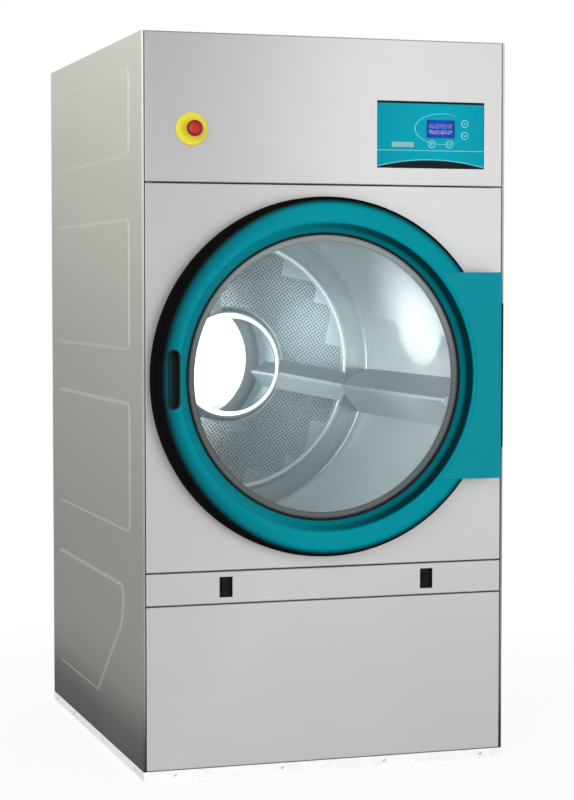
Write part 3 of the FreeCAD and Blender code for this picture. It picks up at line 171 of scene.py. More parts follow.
class DryerSizes(bpy.types.PropertyGroup):
    """Sizes of the dressed pieces."""

    panel_bend: length("Panel bend", "Radius of the folded edges of the front panels", 0.0025)
    sheet_gauge: length("Sheet gauge", "Thickness of the front panels", 0.0015)
    side_bend: length("Side bend", "Radius of the folds of the side panels", 0.0040)
    press_height: length("Press height", "How far the pressed fields of the side panels stand out", 0.0029)
    press_wall: length("Press wall", "Width of the slope round a pressed field", 0.0060)
    press_corner: length("Press corner", "Corner radius of a pressed field", 0.0300)
    door_shoulder: length("Door shoulder", "Radius of the rolled outer edge of the door", 0.0260)
    door_wall: length("Door wall", "Thickness of the door ring", 0.0030)
    face_inner: length("Face inner radius", "Radius where the flat face of the door ends", 0.3800)
    bevel_inner: length("Bevel inner radius", "Radius where the inner bevel of the door ends", 0.3530)
    bevel_depth: length("Bevel depth", "Depth of the inner bevel of the door", 0.0400)
    slot_width: length("Slot width", "Width of the finger slot", 0.0270)
    slot_length: length("Slot length", "Length of the finger slot", 0.1400)
    slot_depth: length("Slot depth", "Depth of the finger cup", 0.0240)
    plate_arc: length("Plate arc", "Radius of the curved edge of the hinge plate", 0.3850)
    plate_gauge: length("Plate gauge", "Thickness of the hinge plate", 0.0020)
    bead_height: length("Bead height", "Height of the rolled beads in the drum", 0.0030)
    bead_width: length("Bead width", "Width of the rolled beads in the drum", 0.0100)
    hub_crown: length("Hub crown", "Radius of the shallow crown of the hub", 2.2000)
    wall_bead: length("Wall bead radius", "Radius of the bead pressed into the rear wall of the drum", 0.3600)
    shell_bead: length("Shell bead place", "Distance of the shell's bead from the rear wall", 0.0480)
    hole_pitch: length("Hole pitch", "Distance between the rows of holes in the rear wall", 0.0086)
    hole_radius: length("Hole radius", "Radius of a hole in the rear wall", 0.0025)
    hole_block: length("Hole block", "Side of a block of holes", 0.0560)
    screw_radius: length("Screw radius", "Radius of a screw head", 0.0050)
    screw_height: length("Screw height", "Height of a screw head", 0.0016)
    turn_steps: IntProperty(name="Turn steps", description="Steps of a large turned piece", default=144,
                            min=24)


class DryerColours(bpy.types.PropertyGroup):
    """Base colours of the finishes."""

    stainless: colour("Stainless", "Brushed sheet of the front panels", (0.545, 0.545, 0.545))
    side_grey: colour("Side grey", "Satin paint of the side, top and rear panels", (0.47, 0.48, 0.43))
    edge_highlight_grey: colour("Edge highlight grey", "Paint on the pressed edges of the side panels", (0.80, 0.81, 0.78))
    zinc: colour("Zinc", "Galvanised sheet", (0.82, 0.83, 0.83))
    teal: colour("Teal", "Paint of the door ring and of the hinge plate", (0.001, 0.238, 0.292))
    print_teal: colour("Print teal", "Film of the control face", (0.000, 0.305, 0.400))
    print_light: colour("Print light", "Light lines of the control face", (0.42, 0.80, 0.82))
    print_and_shadow_dark: colour("Print and shadow dark", "Dark bands of the control face", (0.004, 0.012, 0.014))
    black: colour("Black", "Plastic, rubber and black paint", (0.010, 0.010, 0.011))
    gasket_grey: colour("Gasket grey", "Rubber that holds the glass", (0.250, 0.276, 0.276))
    drum_steel: colour("Drum steel", "Stainless sheet of the drum", (0.79, 0.88, 0.91))
    hole_dark: colour("Hole dark", "Holes in the rear wall of the drum", (0.012, 0.018, 0.020))
    bright_steel: colour("Bright steel", "Turned steel", (0.58, 0.58, 0.58))
    casting: colour("Casting", "Cast iron and motors", (0.10, 0.10, 0.11))
    glass: colour("Glass", "Tint of the door glass", (0.45, 0.60, 0.62))
    display: colour("Display", "Lit display", (0.008, 0.045, 0.330))
    display_marks: colour("Display marks", "Light marks on the display", (0.42, 0.46, 0.80))
    board: colour("Board", "Circuit board", (0.02, 0.14, 0.05))
    stop_yellow: colour("Stop yellow", "Collar of the stop button", (0.70, 0.61, 0.02))
    stop_red: colour("Stop red", "Head of the stop button", (0.40, 0.010, 0.008))
    floor: colour("Floor", "Floor of the studio", (0.86, 0.86, 0.86))


class DryerStudio(bpy.types.PropertyGroup):
    """Camera, lamps and surroundings."""

    lens: amount("Lens", "Focal length on a 36 mm sensor", 95.86, unit="CAMERA")
    place: FloatVectorProperty(name="Place", description="Place of the camera", subtype="TRANSLATION",
                               default=(-1.68338, -5.52984, 1.20441))
    turn: FloatVectorProperty(name="Turn", description="Rotation of the camera", subtype="EULER",
                              default=(math.radians(90.0 - 3.085), 0.0, math.radians(-17.579)))
    ambient: amount("Ambient", "Strength of the surroundings", 0.38)
    key_power: amount("Key power", "Power of the lamp on the right", 30.0)
    fill_power: amount("Fill power", "Power of the lamp on the left", 226.0)
    back_power: amount("Back power", "Power of the lamp behind", 90.0)
    drum_power: amount("Drum power", "Power of the narrow lamp into the drum", 0.50)
    floor_reach: amount("Floor reach", "Distance at which the floor turns plain white", 2.2, unit="LENGTH")
    floor_shade: amount("Floor shade", "Share of its shading that the floor shows", 0.08, subtype="FACTOR")


# Modelling helpers

def clear_selection():
    """Leave edit mode and deselect everything."""
    if bpy.context.object and bpy.context.object.mode != "OBJECT":
        bpy.ops.object.mode_set(mode="OBJECT")
    bpy.ops.object.select_all(action="DESELECT")


def named(name):
    """Name the object that was just added and put its place into its mesh."""
    piece = bpy.context.object
    piece.name = name
    piece.data.name = name
    bpy.ops.object.transform_apply(location=True, rotation=True, scale=True)
    return piece


def choose(piece):
    """Make a piece the only selected one."""
    clear_selection()
    piece.select_set(True)
    bpy.context.view_layer.objects.active = piece


@contextmanager
def editing(piece):
    """Work on a piece in edit mode."""
    choose(piece)
    bpy.ops.object.mode_set(mode="EDIT")
    yield
    bpy.ops.object.mode_set(mode="OBJECT")


def block(name, low, high):
    """Add a block between two corners."""
    clear_selection()
    low, high = Vector(low), Vector(high)
    bpy.ops.mesh.primitive_cube_add(size=1.0, location=(low + high) / 2, scale=high - low)
    return named(name)


def round_bar(name, centre, radius, y_span, steps=48):
    """Add a round bar along Y about a centre given as (x, z)."""
    clear_selection()
    near, far = y_span
    bpy.ops.mesh.primitive_cylinder_add(vertices=steps, radius=radius, depth=far - near,
                                        location=(centre[0], (near + far) / 2, centre[1]),
                                        rotation=(math.pi / 2, 0.0, 0.0))
    return named(name)


def select_all():
    """In edit mode, select everything."""
    bpy.ops.mesh.select_all(action="SELECT")


def pick(piece, kind, test):
    """In edit mode, select the vertices, edges or faces whose middle and direction pass a test."""
    bpy.ops.mesh.select_mode(type=kind)
    bpy.ops.mesh.select_all(action="DESELECT")
    mesh = bmesh.from_edit_mesh(piece.data)
    if kind == "VERT":
        entries = [(vertex, vertex.co, vertex.normal) for vertex in mesh.verts]
    elif kind == "EDGE":
        ends = [(edge, edge.verts[0].co, edge.verts[1].co) for edge in mesh.edges]
        entries = [(edge, (start + end) / 2, (end - start).normalized()) for edge, start, end in ends]
    else:
        entries = [(face, face.calc_center_median(), face.normal) for face in mesh.faces]
    found = [item for item, middle, way in entries if test(middle, way)]
    if not found:
        raise RuntimeError(f"{piece.name}: nothing was selected")
    for item in found:
        item.select_set(True)
    bmesh.update_edit_mesh(piece.data)


def pick_facing(piece, x=0.0, y=0.0, z=0.0):
    """In edit mode, select the faces that face one way."""
    heading = Vector((x, y, z))
    pick(piece, "FACE", lambda middle, normal: normal.dot(heading) > FACING)


def near_to(value, target):
    """Tell whether two lengths agree."""
    return abs(value - target) < NEAR


def extrude(x, y, z):
    """In edit mode, extrude what is selected."""
    bpy.ops.mesh.extrude_region_move(TRANSFORM_OT_translate={"value": (x, y, z)})


def hollow(piece, depth):
    """In edit mode, sink a pocket into the front of a piece and leave a thin wall round it."""
    pick_facing(piece, y=-1.0)
    bpy.ops.mesh.inset(thickness=CUP_WALL, depth=0.0)
    extrude(0.0, depth, 0.0)


def line(name, points):
    """Draw an open line of points by extruding one vertex."""
    clear_selection()
    places = [Vector(point) for point in points]
    bpy.ops.mesh.primitive_plane_add(size=0.001, location=places[0])
    piece = named(name)
    with editing(piece):
        bpy.ops.mesh.select_mode(type="VERT")
        select_all()
        bpy.ops.mesh.merge(type="CENTER")
        for start, end in zip(places, places[1:]):
            bpy.ops.mesh.extrude_vertices_move(TRANSFORM_OT_translate={"value": end - start})
    return piece


def round_corner(piece, place, radius, segments):
    """Round one corner of a drawn line."""
    pick(piece, "VERT", lambda middle, way: (middle - place).length < TINY)
    bpy.ops.mesh.bevel(offset=radius, segments=segments, affect="VERTICES")


def close_line(piece, places):
    """In edit mode, join the two ends of a drawn line."""
    ends = (places[0], places[-1])
    pick(piece, "VERT", lambda middle, way: min((middle - place).length for place in ends) < TINY)
    bpy.ops.mesh.edge_face_add()


def face_outwards(piece, side):
    """In edit mode, turn the largest face of a sheet, and the rest with it, to one side along X."""
    mesh = bmesh.from_edit_mesh(piece.data)
    flat = max(mesh.faces, key=lambda face: face.calc_area())
    if flat.normal.x * side < 0.0:
        select_all()
        bpy.ops.mesh.flip_normals()


def turned(name, outline, centre=DOOR, closed=True, steps=None):
    """Turn an outline about a line along Y through (x, z), as a rule the middle of the door and the drum.

    A corner is (radius, y) or (radius, y, bend), where bend is the radius of its rounding.
    """
    x, z = centre
    steps = steps or bpy.context.scene.dryer_sizes.turn_steps
    places = [Vector((x + corner[0], corner[1], z)) for corner in outline]
    piece = line(name, places)
    with editing(piece):
        if closed:
            close_line(piece, places)
        for corner, place in zip(outline, places):
            if len(corner) > 2:
                round_corner(piece, place, corner[2], BEND_STEPS)
        select_all()
        bpy.ops.mesh.spin(steps=steps, angle=FULL_TURN, center=(x, 0.0, z), axis=(0.0, 1.0, 0.0))
        select_all()
        bpy.ops.mesh.remove_doubles(threshold=TINY)
        bpy.ops.mesh.normals_make_consistent(inside=False)
    return piece


def modify(piece, kind, **settings):
    """Add a modifier, set it and apply it."""
    choose(piece)
    modifier = piece.modifiers.new(kind.title(), kind)
    for key, value in settings.items():
        setattr(modifier, key, value)
    bpy.ops.object.modifier_apply(modifier=modifier.name)


def soften(piece, width, segments=2):
    """Round the sharp edges of a piece."""
    modify(piece, "BEVEL", width=width, segments=segments, limit_method="ANGLE", angle_limit=SHARP)


def carve(piece, *tools):
    """Cut tools out of a piece and remove them."""
    for tool in tools:
        modify(piece, "BOOLEAN", operation="DIFFERENCE", object=tool, solver="EXACT")
        bpy.data.objects.remove(tool, do_unlink=True)


def joined(piece, *others):
    """Join others into a piece."""
    clear_selection()
    for item in (piece, *others):
        item.select_set(True)
    bpy.context.view_layer.objects.active = piece
    bpy.ops.object.join()
    return piece


def copied(piece, name):
    """Copy a piece with its own mesh."""
    choose(piece)
    bpy.ops.object.duplicate(linked=False)
    return named(name)


def swung(piece, angle):
    """Turn a piece about the middle of the drum, seen from the front anticlockwise."""
    with editing(piece):
        select_all()
        bpy.ops.transform.rotate(value=angle, orient_axis="Y", center_override=(DOOR_X, 0.0, DOOR_Z))


def mark_faces(piece, name, test):
    """Mark the faces that pass a test, for the finish to find."""
    marks = piece.data.attributes.new(name, "FLOAT", "FACE")
    for face in piece.data.polygons:
        marks.data[face.index].value = float(test(face))


def coat(piece, finish):
    """Give a piece one material."""
    piece.data.materials.clear()
    piece.data.materials.append(material(finish))


def dress(piece, body, finish, nodes=(), angle=30.0, sheet=False):
    """Finish a piece: smooth shading, its body, its material and the nodes that it stands for.

    A sheet keeps its large faces flat beside their rounded edges.
    """
    choose(piece)
    bpy.ops.object.shade_smooth_by_angle(angle=math.radians(angle))
    if sheet:
        modify(piece, "WEIGHTED_NORMAL", keep_sharp=True, weight=100)
    coat(piece, finish)
    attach(piece, body)
    if nodes:
        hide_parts(*nodes)


# Shader helpers

def shade(tint, factor):
    """Return a colour made darker or lighter."""
    return tuple(min(1.0, part * factor) for part in tint)


def maths(operation):
    """Return a method that adds a Math node."""
    return lambda wire, *others: wire.recipe.math(operation, wire, *others)


class Wire:
    """A socket whose arithmetic and masks add nodes to its tree."""

    __add__ = __radd__ = maths("ADD")
    __mul__ = __rmul__ = maths("MULTIPLY")
    __sub__ = maths("SUBTRACT")
    __truediv__ = maths("DIVIDE")
    __lt__ = maths("LESS_THAN")
    __gt__ = maths("GREATER_THAN")
    larger = maths("MAXIMUM")
    root = maths("SQRT")
    size = maths("ABSOLUTE")
    floor = maths("FLOOR")
    fraction = maths("FRACT")
    sine = maths("SINE")

    def __init__(self, recipe, socket):
        self.recipe = recipe
        self.socket = socket

    def __rsub__(self, other):
        return self.recipe.math("SUBTRACT", other, self)

    def within(self, start, end):
        """Return 1 between two values and 0 elsewhere."""
        return (self > start) * (self < end)

    def fade(self, start, end):
        """Return 1 up to a start and 0 from an end, with a smooth step between them."""
        ends = {"Value": self, "From Min": start, "From Max": end, "To Min": 1.0, "To Max": 0.0}
        return self.recipe.add("ShaderNodeMapRange", {"interpolation_type": "SMOOTHSTEP"}, ends)

    def rise(self, start, end):
        """Return 0 up to a start and 1 from an end, with a smooth step between them."""
        return 1.0 - self.fade(start, end)

    def spread(self, low, high):
        """Spread a value between 0 and 1 over a range."""
        return self.recipe.add("ShaderNodeMapRange", {}, {"Value": self, "To Min": low, "To Max": high})

    def mix(self, first, second):
        """Mix two colours by this share."""
        return self.recipe.add("ShaderNodeMix", {"data_type": "RGBA"}, {0: self, 6: first, 7: second}, 2)

    def tones(self, tint, low, high):
        """Mix two shades of a colour by this share."""
        return self.mix(shade(tint, low), shade(tint, high))

    def bump(self, strength, depth):
        """Return a normal that follows this height."""
        sockets = {"Strength": strength, "Distance": depth, "Height": self}
        return self.recipe.add("ShaderNodeBump", {}, sockets)


class Recipe:
    """The nodes of a material, or of the surroundings, in the making."""

    def __init__(self, owner):
        owner.use_nodes = True
        self.owner = owner
        self.tree = owner.node_tree

    def add(self, kind, settings, sockets, output=0):
        """Add a node, set it, feed its sockets and return one of its outputs."""
        node = self.tree.nodes.new(kind)
        for key, value in settings.items():
            setattr(node, key, value)
        for key, value in sockets.items():
            self.feed(node.inputs[key], value)
        return Wire(self, node.outputs[output])

    def feed(self, socket, value):
        """Link a wire to a socket, or set the socket to a value."""
        if isinstance(value, Wire):
            self.tree.links.new(value.socket, socket)
        elif socket.type == "RGBA":
            socket.default_value = (*value, 1.0)
        else:
            socket.default_value = value

    def math(self, operation, *values):
        """Add a Math node."""
        return self.add("ShaderNodeMath", {"operation": operation}, dict(enumerate(values)))

    def place(self):
        """Return the place of a point in the object's frame."""
        return self.add("ShaderNodeTexCoord", {}, {}, "Object")

    def axes(self):
        """Return x, y and z of a point in the object's frame."""
        node = self.add("ShaderNodeSeparateXYZ", {}, {0: self.place()}).socket.node
        return [Wire(self, output) for output in node.outputs]

    def radius(self, centre):
        """Return the distance from a line along Y through (x, z)."""
        x, _, z = self.axes()
        return distance(x - centre[0], z - centre[1])

    def noise(self, stretch, detail=3.0, rough=0.55):
        """Return a noise whose features repeat so many times a metre, along all axes or along each."""
        if isinstance(stretch, float):
            stretch = (stretch, stretch, stretch)
        vector = self.add("ShaderNodeVectorMath", {"operation": "MULTIPLY"}, {0: self.place(), 1: stretch})
        sockets = {"Vector": vector, "Scale": 1.0, "Detail": detail, "Roughness": rough}
        return self.add("ShaderNodeTexNoise", {}, sockets, "Fac")

    def mark(self, name):
        """Return a mark that was set on the faces of a piece."""
        return self.add("ShaderNodeAttribute", {"attribute_name": name}, {}, "Fac")

    def ramp(self, value, tones):
        """Return a grey that follows a value."""
        grey = self.add("ShaderNodeValToRGB", {}, {0: value})
        elements = grey.socket.node.color_ramp.elements
        while len(elements) < len(tones):
            elements.new(1.0)
        for element, (position, tone) in zip(elements, tones):
            element.position = position
            element.color = (tone, tone, tone, 1.0)
        return grey

    def seen(self):
        """Return 1 for rays from the camera, mirrors and glass."""
        node = self.add("ShaderNodeLightPath", {}, {}).socket.node
        names = ("Is Camera Ray", "Is Glossy Ray", "Is Transmission Ray")
        return either(*(Wire(self, node.outputs[name]) for name in names))

    def show_white(self, share, lit, white, output):
        """Show white by a share, and what the lit node gives for the rest."""
        shaders = {0: share, 1: Wire(self, self.tree.nodes[lit].outputs[0]),
                   2: self.add(white, {}, {"Color": WHITE, "Strength": 1.0})}
        mixed = self.add("ShaderNodeMixShader", {}, shaders)
        self.feed(self.tree.nodes[output].inputs["Surface"], mixed)

    def done(self, **sockets):
        """Feed the shader."""
        shader = self.tree.nodes["Principled BSDF"]
        for key, value in sockets.items():
            self.feed(shader.inputs[key.replace("_", " ")], value)


def either(*masks):
    """Return the largest of several masks."""
    return reduce(Wire.larger, masks)


def distance(across, up):
    """Return how far a point lies from a middle."""
    return (across * across + up * up).root()


def layered(base, tint, *layers):
    """Lay shades of a colour over a base, each given as (mask, factor)."""
    for mask, factor in layers:
        base = mask.mix(base, shade(tint, factor))
    return base


# Finishes

def brushed_stainless(recipe, colours):
    """Front panels: fine level brushing over soft clouds, with painted shade on the left and towards the
    floor.
    """
    grain = recipe.noise((6.0, 6.0, 900.0), 4.0, 0.6)
    cloud = recipe.noise((5.0, 5.0, 7.0))
    streak = recipe.noise((1.5, 1.5, 120.0), 2.0)
    x, _, z = recipe.axes()
    sheen = (cloud * 0.6 + streak * 0.4).tones(colours.stainless, 0.94, 1.06)
    # painted shade: the panels are darker towards the floor and on the left
    painted_low_shade = either(z.fade(0.0, 1.50) * 0.42, z.fade(0.0, 0.20) * 0.40)
    painted_shade = either(x.fade(-HALF_WIDTH, 0.22) * (0.42 + z * 0.32), painted_low_shade)
    recipe.done(Base_Color=layered(sheen, colours.stainless, (painted_shade, 0.60)), Metallic=0.60,
                Roughness=grain.spread(0.42, 0.56), Specular_IOR_Level=0.25, Normal=grain.bump(0.05, 0.0004))


def satin(recipe, colours, tones):
    """Side, top and rear panels: satin paint with a fine peel, in greys that follow the height as painted
    shade, darker towards the floor, with a painted highlight on the pressed edges.
    """
    peel = recipe.noise(260.0, 2.0)
    cloud = recipe.noise(3.0)
    # painted shade: the grey follows the height, darker towards the floor
    tone = recipe.ramp(recipe.axes()[2] / HEIGHT, tones) * (0.95 + cloud * 0.1)
    paint = tone.mix(BLACK, shade(colours.side_grey, SIDE_TOP))
    # painted highlight: the sloping walls of the pressed fields are lighter than the sheet
    paint = (recipe.mark(PRESSED_EDGE) * 0.22).mix(paint, colours.edge_highlight_grey)
    recipe.done(Base_Color=paint, Metallic=0.10, Roughness=cloud.spread(0.50, 0.62), Specular_IOR_Level=0.20,
                Normal=peel.bump(0.04, 0.0003))


def galvanised(recipe, colours):
    """Zinc with a faint spangle."""
    spangle = recipe.add("ShaderNodeTexVoronoi", {}, {"Vector": recipe.place(), "Scale": 70.0}, "Color")
    grey = recipe.add("ShaderNodeRGBToBW", {}, {0: spangle})
    recipe.done(Base_Color=grey.tones(colours.zinc, 0.96, 1.04), Metallic=0.65,
                Roughness=grey.spread(0.42, 0.50))


def ring_paint(recipe, colours):
    """Teal paint of the door ring with painted shade: darker on the left, black round its outer wall, dark on
    the inner slope and groove on the right; the inner slope on the left gets a painted highlight.
    """
    flat = bpy.context.scene.dryer_sizes.face_inner
    x = recipe.axes()[0]
    across = recipe.radius(DOOR)
    peel = recipe.noise(180.0, 2.0)
    cloud = recipe.noise(6.0, 2.0)
    left = x.fade(DOOR_X - DOOR_RADIUS, DOOR_X)
    right = x.rise(DOOR_X - 0.20, DOOR_X + 0.26)
    wall = (across + left * 0.010).rise(DOOR_RADIUS - 0.024, DOOR_RADIUS - 0.006)
    edge = across.rise(DOOR_RADIUS - 0.062, DOOR_RADIUS - 0.020)
    slope = across.fade(flat - 0.005, flat - 0.001)
    groove = slope * across.rise(flat - 0.020, flat - 0.012)
    # painted shade on the left and round the outer edge on the left, painted highlight on the inner slope on
    # the left, painted shade on the slope and in the groove on the right
    paint = layered(cloud.tones(colours.teal, 0.95, 1.06), colours.teal, (left * 0.25, 0.60),
                    (edge * left * 0.85, 0.20), (slope * left, 1.25), (slope * right * 0.6, 0.30),
                    (groove * right * 0.92, 0.05))
    # painted shade: the outer wall turns black, reaching further in on the left
    recipe.done(Base_Color=layered(paint, colours.black, (wall, 0.3)),
                Roughness=cloud.spread(0.24, 0.32) + wall * 0.6, Specular_IOR_Level=PAINT_GLOSS * 0.4,
                Normal=peel.bump(*PEEL_BUMP))


def plate_paint(recipe, colours):
    """Teal paint of the hinge plate."""
    peel = recipe.noise(180.0, 2.0)
    cloud = recipe.noise(6.0, 2.0)
    recipe.done(Base_Color=cloud.tones(colours.teal, 0.95, 1.08), Roughness=cloud.spread(0.26, 0.36),
                Specular_IOR_Level=PAINT_GLOSS, Normal=peel.bump(*PEEL_BUMP))


def cup_plastic(recipe, colours):
    """Black plastic of the finger cup, with painted light in dark teal on the left of its floor."""
    x, y, _ = recipe.axes()
    middle = centre_of("door_handle_cup")[0]
    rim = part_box("door_handle_cup")[0].y
    fine = recipe.noise(900.0)
    floor = y.rise(rim + 0.002, rim + 0.006)
    # painted light: the left of the cup's floor shows dark teal, the rest stays black
    painted_teal_light = floor * x.fade(middle - 0.004, middle + 0.005) * (0.8 + fine * 0.4)
    recipe.done(Base_Color=layered(colours.black, colours.teal, (painted_teal_light, 0.30)),
                Roughness=fine.spread(0.50, 0.60), Specular_IOR_Level=PAINT_GLOSS,
                Normal=fine.bump(*FINE_BUMP))


def grained(recipe, colours, tint, rough, grain, metallic=0.0, factor=1.0):
    """Plain plastic, rubber, paint or metal with a fine grain and soft clouds."""
    fine = recipe.noise(grain)
    cloud = recipe.noise(12.0, 2.0)
    base = (cloud * 0.6 + fine * 0.4).tones(shade(getattr(colours, tint), factor), 0.82, 1.2)
    recipe.done(Base_Color=base, Metallic=metallic, Roughness=fine.spread(rough - 0.06, rough + 0.08),
                Specular_IOR_Level=PAINT_GLOSS * 2, Normal=fine.bump(*FINE_BUMP))


def grey_rubber(recipe, colours):
    """Grey rubber round the glass, with painted shade that darkens its lower half."""
    fine = recipe.noise(500.0)
    # painted shade: the lower half is darker, the upper half keeps the full grey
    painted_lit_share = recipe.axes()[2].rise(DOOR_Z - 0.05, DOOR_Z + 0.34) * (0.85 + fine * 0.3)
    recipe.done(Base_Color=painted_lit_share.tones(colours.gasket_grey, 0.42, 1.0), Roughness=fine.spread(0.50, 0.63),
                Specular_IOR_Level=PAINT_GLOSS * 2, Normal=fine.bump(*FINE_BUMP))


def drum_sheet(recipe, colours):
    """Drum shell and lifters: stainless brushed along the drum's turn, with painted shade on the marked faces
    of the lifters.
    """
    brush = recipe.noise((9.0, 700.0, 9.0), 4.0, 0.6)
    cloud = recipe.noise((5.0, 3.0, 5.0))
    steel = cloud.tones(colours.drum_steel, 0.88, 1.10)
    # painted shade on the faces marked as shaded
    steel = layered(steel, colours.drum_steel, (recipe.mark(SHADED_FACE), 0.26))
    recipe.done(Base_Color=steel, Metallic=0.15, Roughness=brush.spread(0.24, 0.42),
                Normal=brush.bump(0.06, 0.0004))


def drum_back_sheet(recipe, colours):
    """Rear wall of the drum: polished hub, plain rim with a painted highlight on its bead, blocks of round
    holes, and painted shade over its lower half.
    """
    sizes = bpy.context.scene.dryer_sizes
    x, _, z = recipe.axes()
    across, up = x - DOOR_X, z - DOOR_Z
    cos, sin = math.cos(LIFTER_TILT), math.sin(LIFTER_TILT)
    u, v = across * cos - up * sin, across * sin + up * cos
    radius = distance(u, v)
    diagonal = math.sqrt(0.5) / sizes.hole_pitch
    reach = sizes.hole_radius / sizes.hole_pitch
    first, second = ((way * diagonal).fraction() - 0.5 for way in (u + v, u - v))
    dot = distance(first, second).fade(reach * 0.85, reach * 1.15)
    block_u, block_v = (((way / sizes.hole_block).floor() + 0.5) * sizes.hole_block for way in (u, v))
    field = (distance(block_u, block_v) < 0.332) * radius.within(0.168, 0.345)
    for turn in range(LIFTERS):
        cos, sin = math.cos(turn * FULL_TURN / LIFTERS), math.sin(turn * FULL_TURN / LIFTERS)
        rib = (u * cos + v * sin > 0.0) * ((v * cos - u * sin).size() < 0.034)
        field = field * (1.0 - rib)
    hole = dot * field
    plain = 1.0 - hole
    brush = recipe.noise((260.0, 9.0, 9.0), 3.0, 0.6)
    polish = radius.fade(0.150, 0.158)
    # painted shade: the lower half of the wall, apart from the hub, is darker
    painted_low_shade = z.fade(DOOR_Z - 0.30, DOOR_Z + 0.05) * (1.0 - polish)
    # painted highlight: the bead is lighter outside the painted shade
    bead = (radius - sizes.wall_bead).size().fade(0.003, 0.011) * (1.0 - painted_low_shade)
    steel = layered(recipe.noise(5.0).tones(colours.drum_steel, 0.58, 0.78), colours.drum_steel,
                    (painted_low_shade * 0.85, 0.24), (field * 0.40, 0.30), (either(polish, bead * 0.85), 1.10))
    recipe.done(Base_Color=hole.mix(steel, colours.hole_dark), Metallic=plain,
                Roughness=brush.spread(0.15, 0.25) * (1.0 - polish * 0.82) + hole * 0.4,
                Normal=plain.bump(0.35, 0.0008))


def clear_glass(recipe, colours):
    """Door glass: nearly clear, with more gloss at a slant."""
    smear = recipe.noise(4.0)
    recipe.owner.surface_render_method = "BLENDED"
    recipe.done(Base_Color=colours.glass, Roughness=smear.spread(0.02, 0.06), IOR=1.45,
                Alpha=smear.spread(0.05, 0.10))


def control_print(recipe, colours):
    """Printed film of the control face and of its keys."""
    x, _, z = recipe.axes()
    low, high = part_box("control_overlay")
    lines = []
    for node, (_, heading) in KEYS.items():
        centre = centre_of(node)
        across, up = x - centre[0], z - centre[1]
        lines.append((distance(across, up) - KEY_RING).size().fade(*PRINT_LINE))
        along = across * heading[0] + up * heading[1]
        beside = (across * heading[1] - up * heading[0]).size()
        arrow = (along + beside * 0.8 - 0.0018).size().fade(*PRINT_LINE)
        lines.append(arrow * (beside < 0.0034))
    oval = (distance((x - 0.3005) / 0.071, (z - 1.5935) / 0.038) - 1.0).size().fade(0.010, 0.022)
    lines.append(oval * x.fade(0.30, 0.36) * 0.45)
    lines.append((z - 1.5395).size().fade(0.0006, 0.0010) * 0.5)
    bow = (x - centre_of("control_overlay")[0]) / radius_of("control_overlay")
    over_crest = z - (low.z + 0.0020 + (1.0 - bow * bow) * 0.0175)
    lines.append((over_crest - 0.0022).size().fade(0.0004, 0.0009) * 0.6)
    # dark bands: the printed lens below the crest, and a painted shadow along the top edge where the window's
    # upper edge shades the recessed film
    bands = either(over_crest.fade(0.0, 0.0006), (high.z - z).fade(0.0045, 0.0062))
    strip = x.within(0.1680, 0.2265) * z.within(1.5475, 1.5600)
    cloud = recipe.noise(30.0)
    glow = (x - 0.30).size().fade(0.0, 0.18)
    film = (cloud * 0.3 + glow * 0.7).tones(colours.print_teal, 0.86, 1.12)
    film = layered(film, colours.print_light, (strip, 0.55), (either(*lines), 1.0))
    recipe.done(Base_Color=bands.mix(film, colours.print_and_shadow_dark), Roughness=cloud.spread(0.30, 0.40),
                Specular_IOR_Level=PAINT_GLOSS, Normal=cloud.bump(*PEEL_BUMP))


def display_face(recipe, colours):
    """Lit display with two rows of small light marks."""
    x, _, z = recipe.axes()
    low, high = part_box("display_window")
    column = ((x - low.x) / 0.00105).floor()
    row = ((z - low.z) / 0.00150).floor()
    cell = recipe.add("ShaderNodeCombineXYZ", {}, {0: column, 1: row})
    dice = recipe.add("ShaderNodeTexWhiteNoise", {"noise_dimensions": "2D"}, {"Vector": cell}, "Value")
    gap = (column / 6.0).fraction() < 0.82
    inset = x.within(low.x + 0.006, high.x - 0.006)
    upper = z.within(high.z - 0.0210, high.z - 0.0095)
    lower = z.within(low.z + 0.0090, low.z + 0.0195)
    marks = (dice > 0.58) * gap * inset * (upper * 0.45 + lower * 0.75)
    glow = (x - centre_of("display_window")[0]).size().fade(0.0, 0.05)
    lit = marks.mix(glow.tones(colours.display, 0.75, 1.15), colours.display_marks)
    recipe.done(Base_Color=lit, Roughness=glow.spread(0.30, 0.38), Specular_IOR_Level=PAINT_GLOSS * 2,
                Emission_Color=lit, Emission_Strength=0.12)


def stop_film(recipe, colours):
    """Yellow collar of the stop button."""
    cloud = recipe.noise(40.0)
    recipe.done(Base_Color=cloud.tones(colours.stop_yellow, 0.90, 1.05), Roughness=cloud.spread(0.34, 0.48))


def stop_head_plastic(recipe, colours):
    """Red head of the stop button, with painted shade down its side."""
    cloud = recipe.noise(60.0, 2.0)
    # painted shade: the head darkens towards its rim
    edge = recipe.radius(centre_of("estop_head")).rise(0.0125, 0.0185)
    recipe.done(Base_Color=edge.tones(colours.stop_red, 1.0, 0.35), Roughness=cloud.spread(0.30, 0.40),
                Specular_IOR_Level=0.25)


def filter_mesh(recipe, colours):
    """Fine woven screen of the filter drawer."""
    wire_pitch = 0.004
    x, y, _ = recipe.axes()
    across, along = ((way * (math.pi / wire_pitch)).sine().size() for way in (x, y))
    weave = across * along
    recipe.done(Base_Color=weave.tones(colours.drum_steel, 0.85, 0.18), Metallic=0.7, Roughness=0.45,
                Normal=(1.0 - weave).bump(0.4, 0.0006))


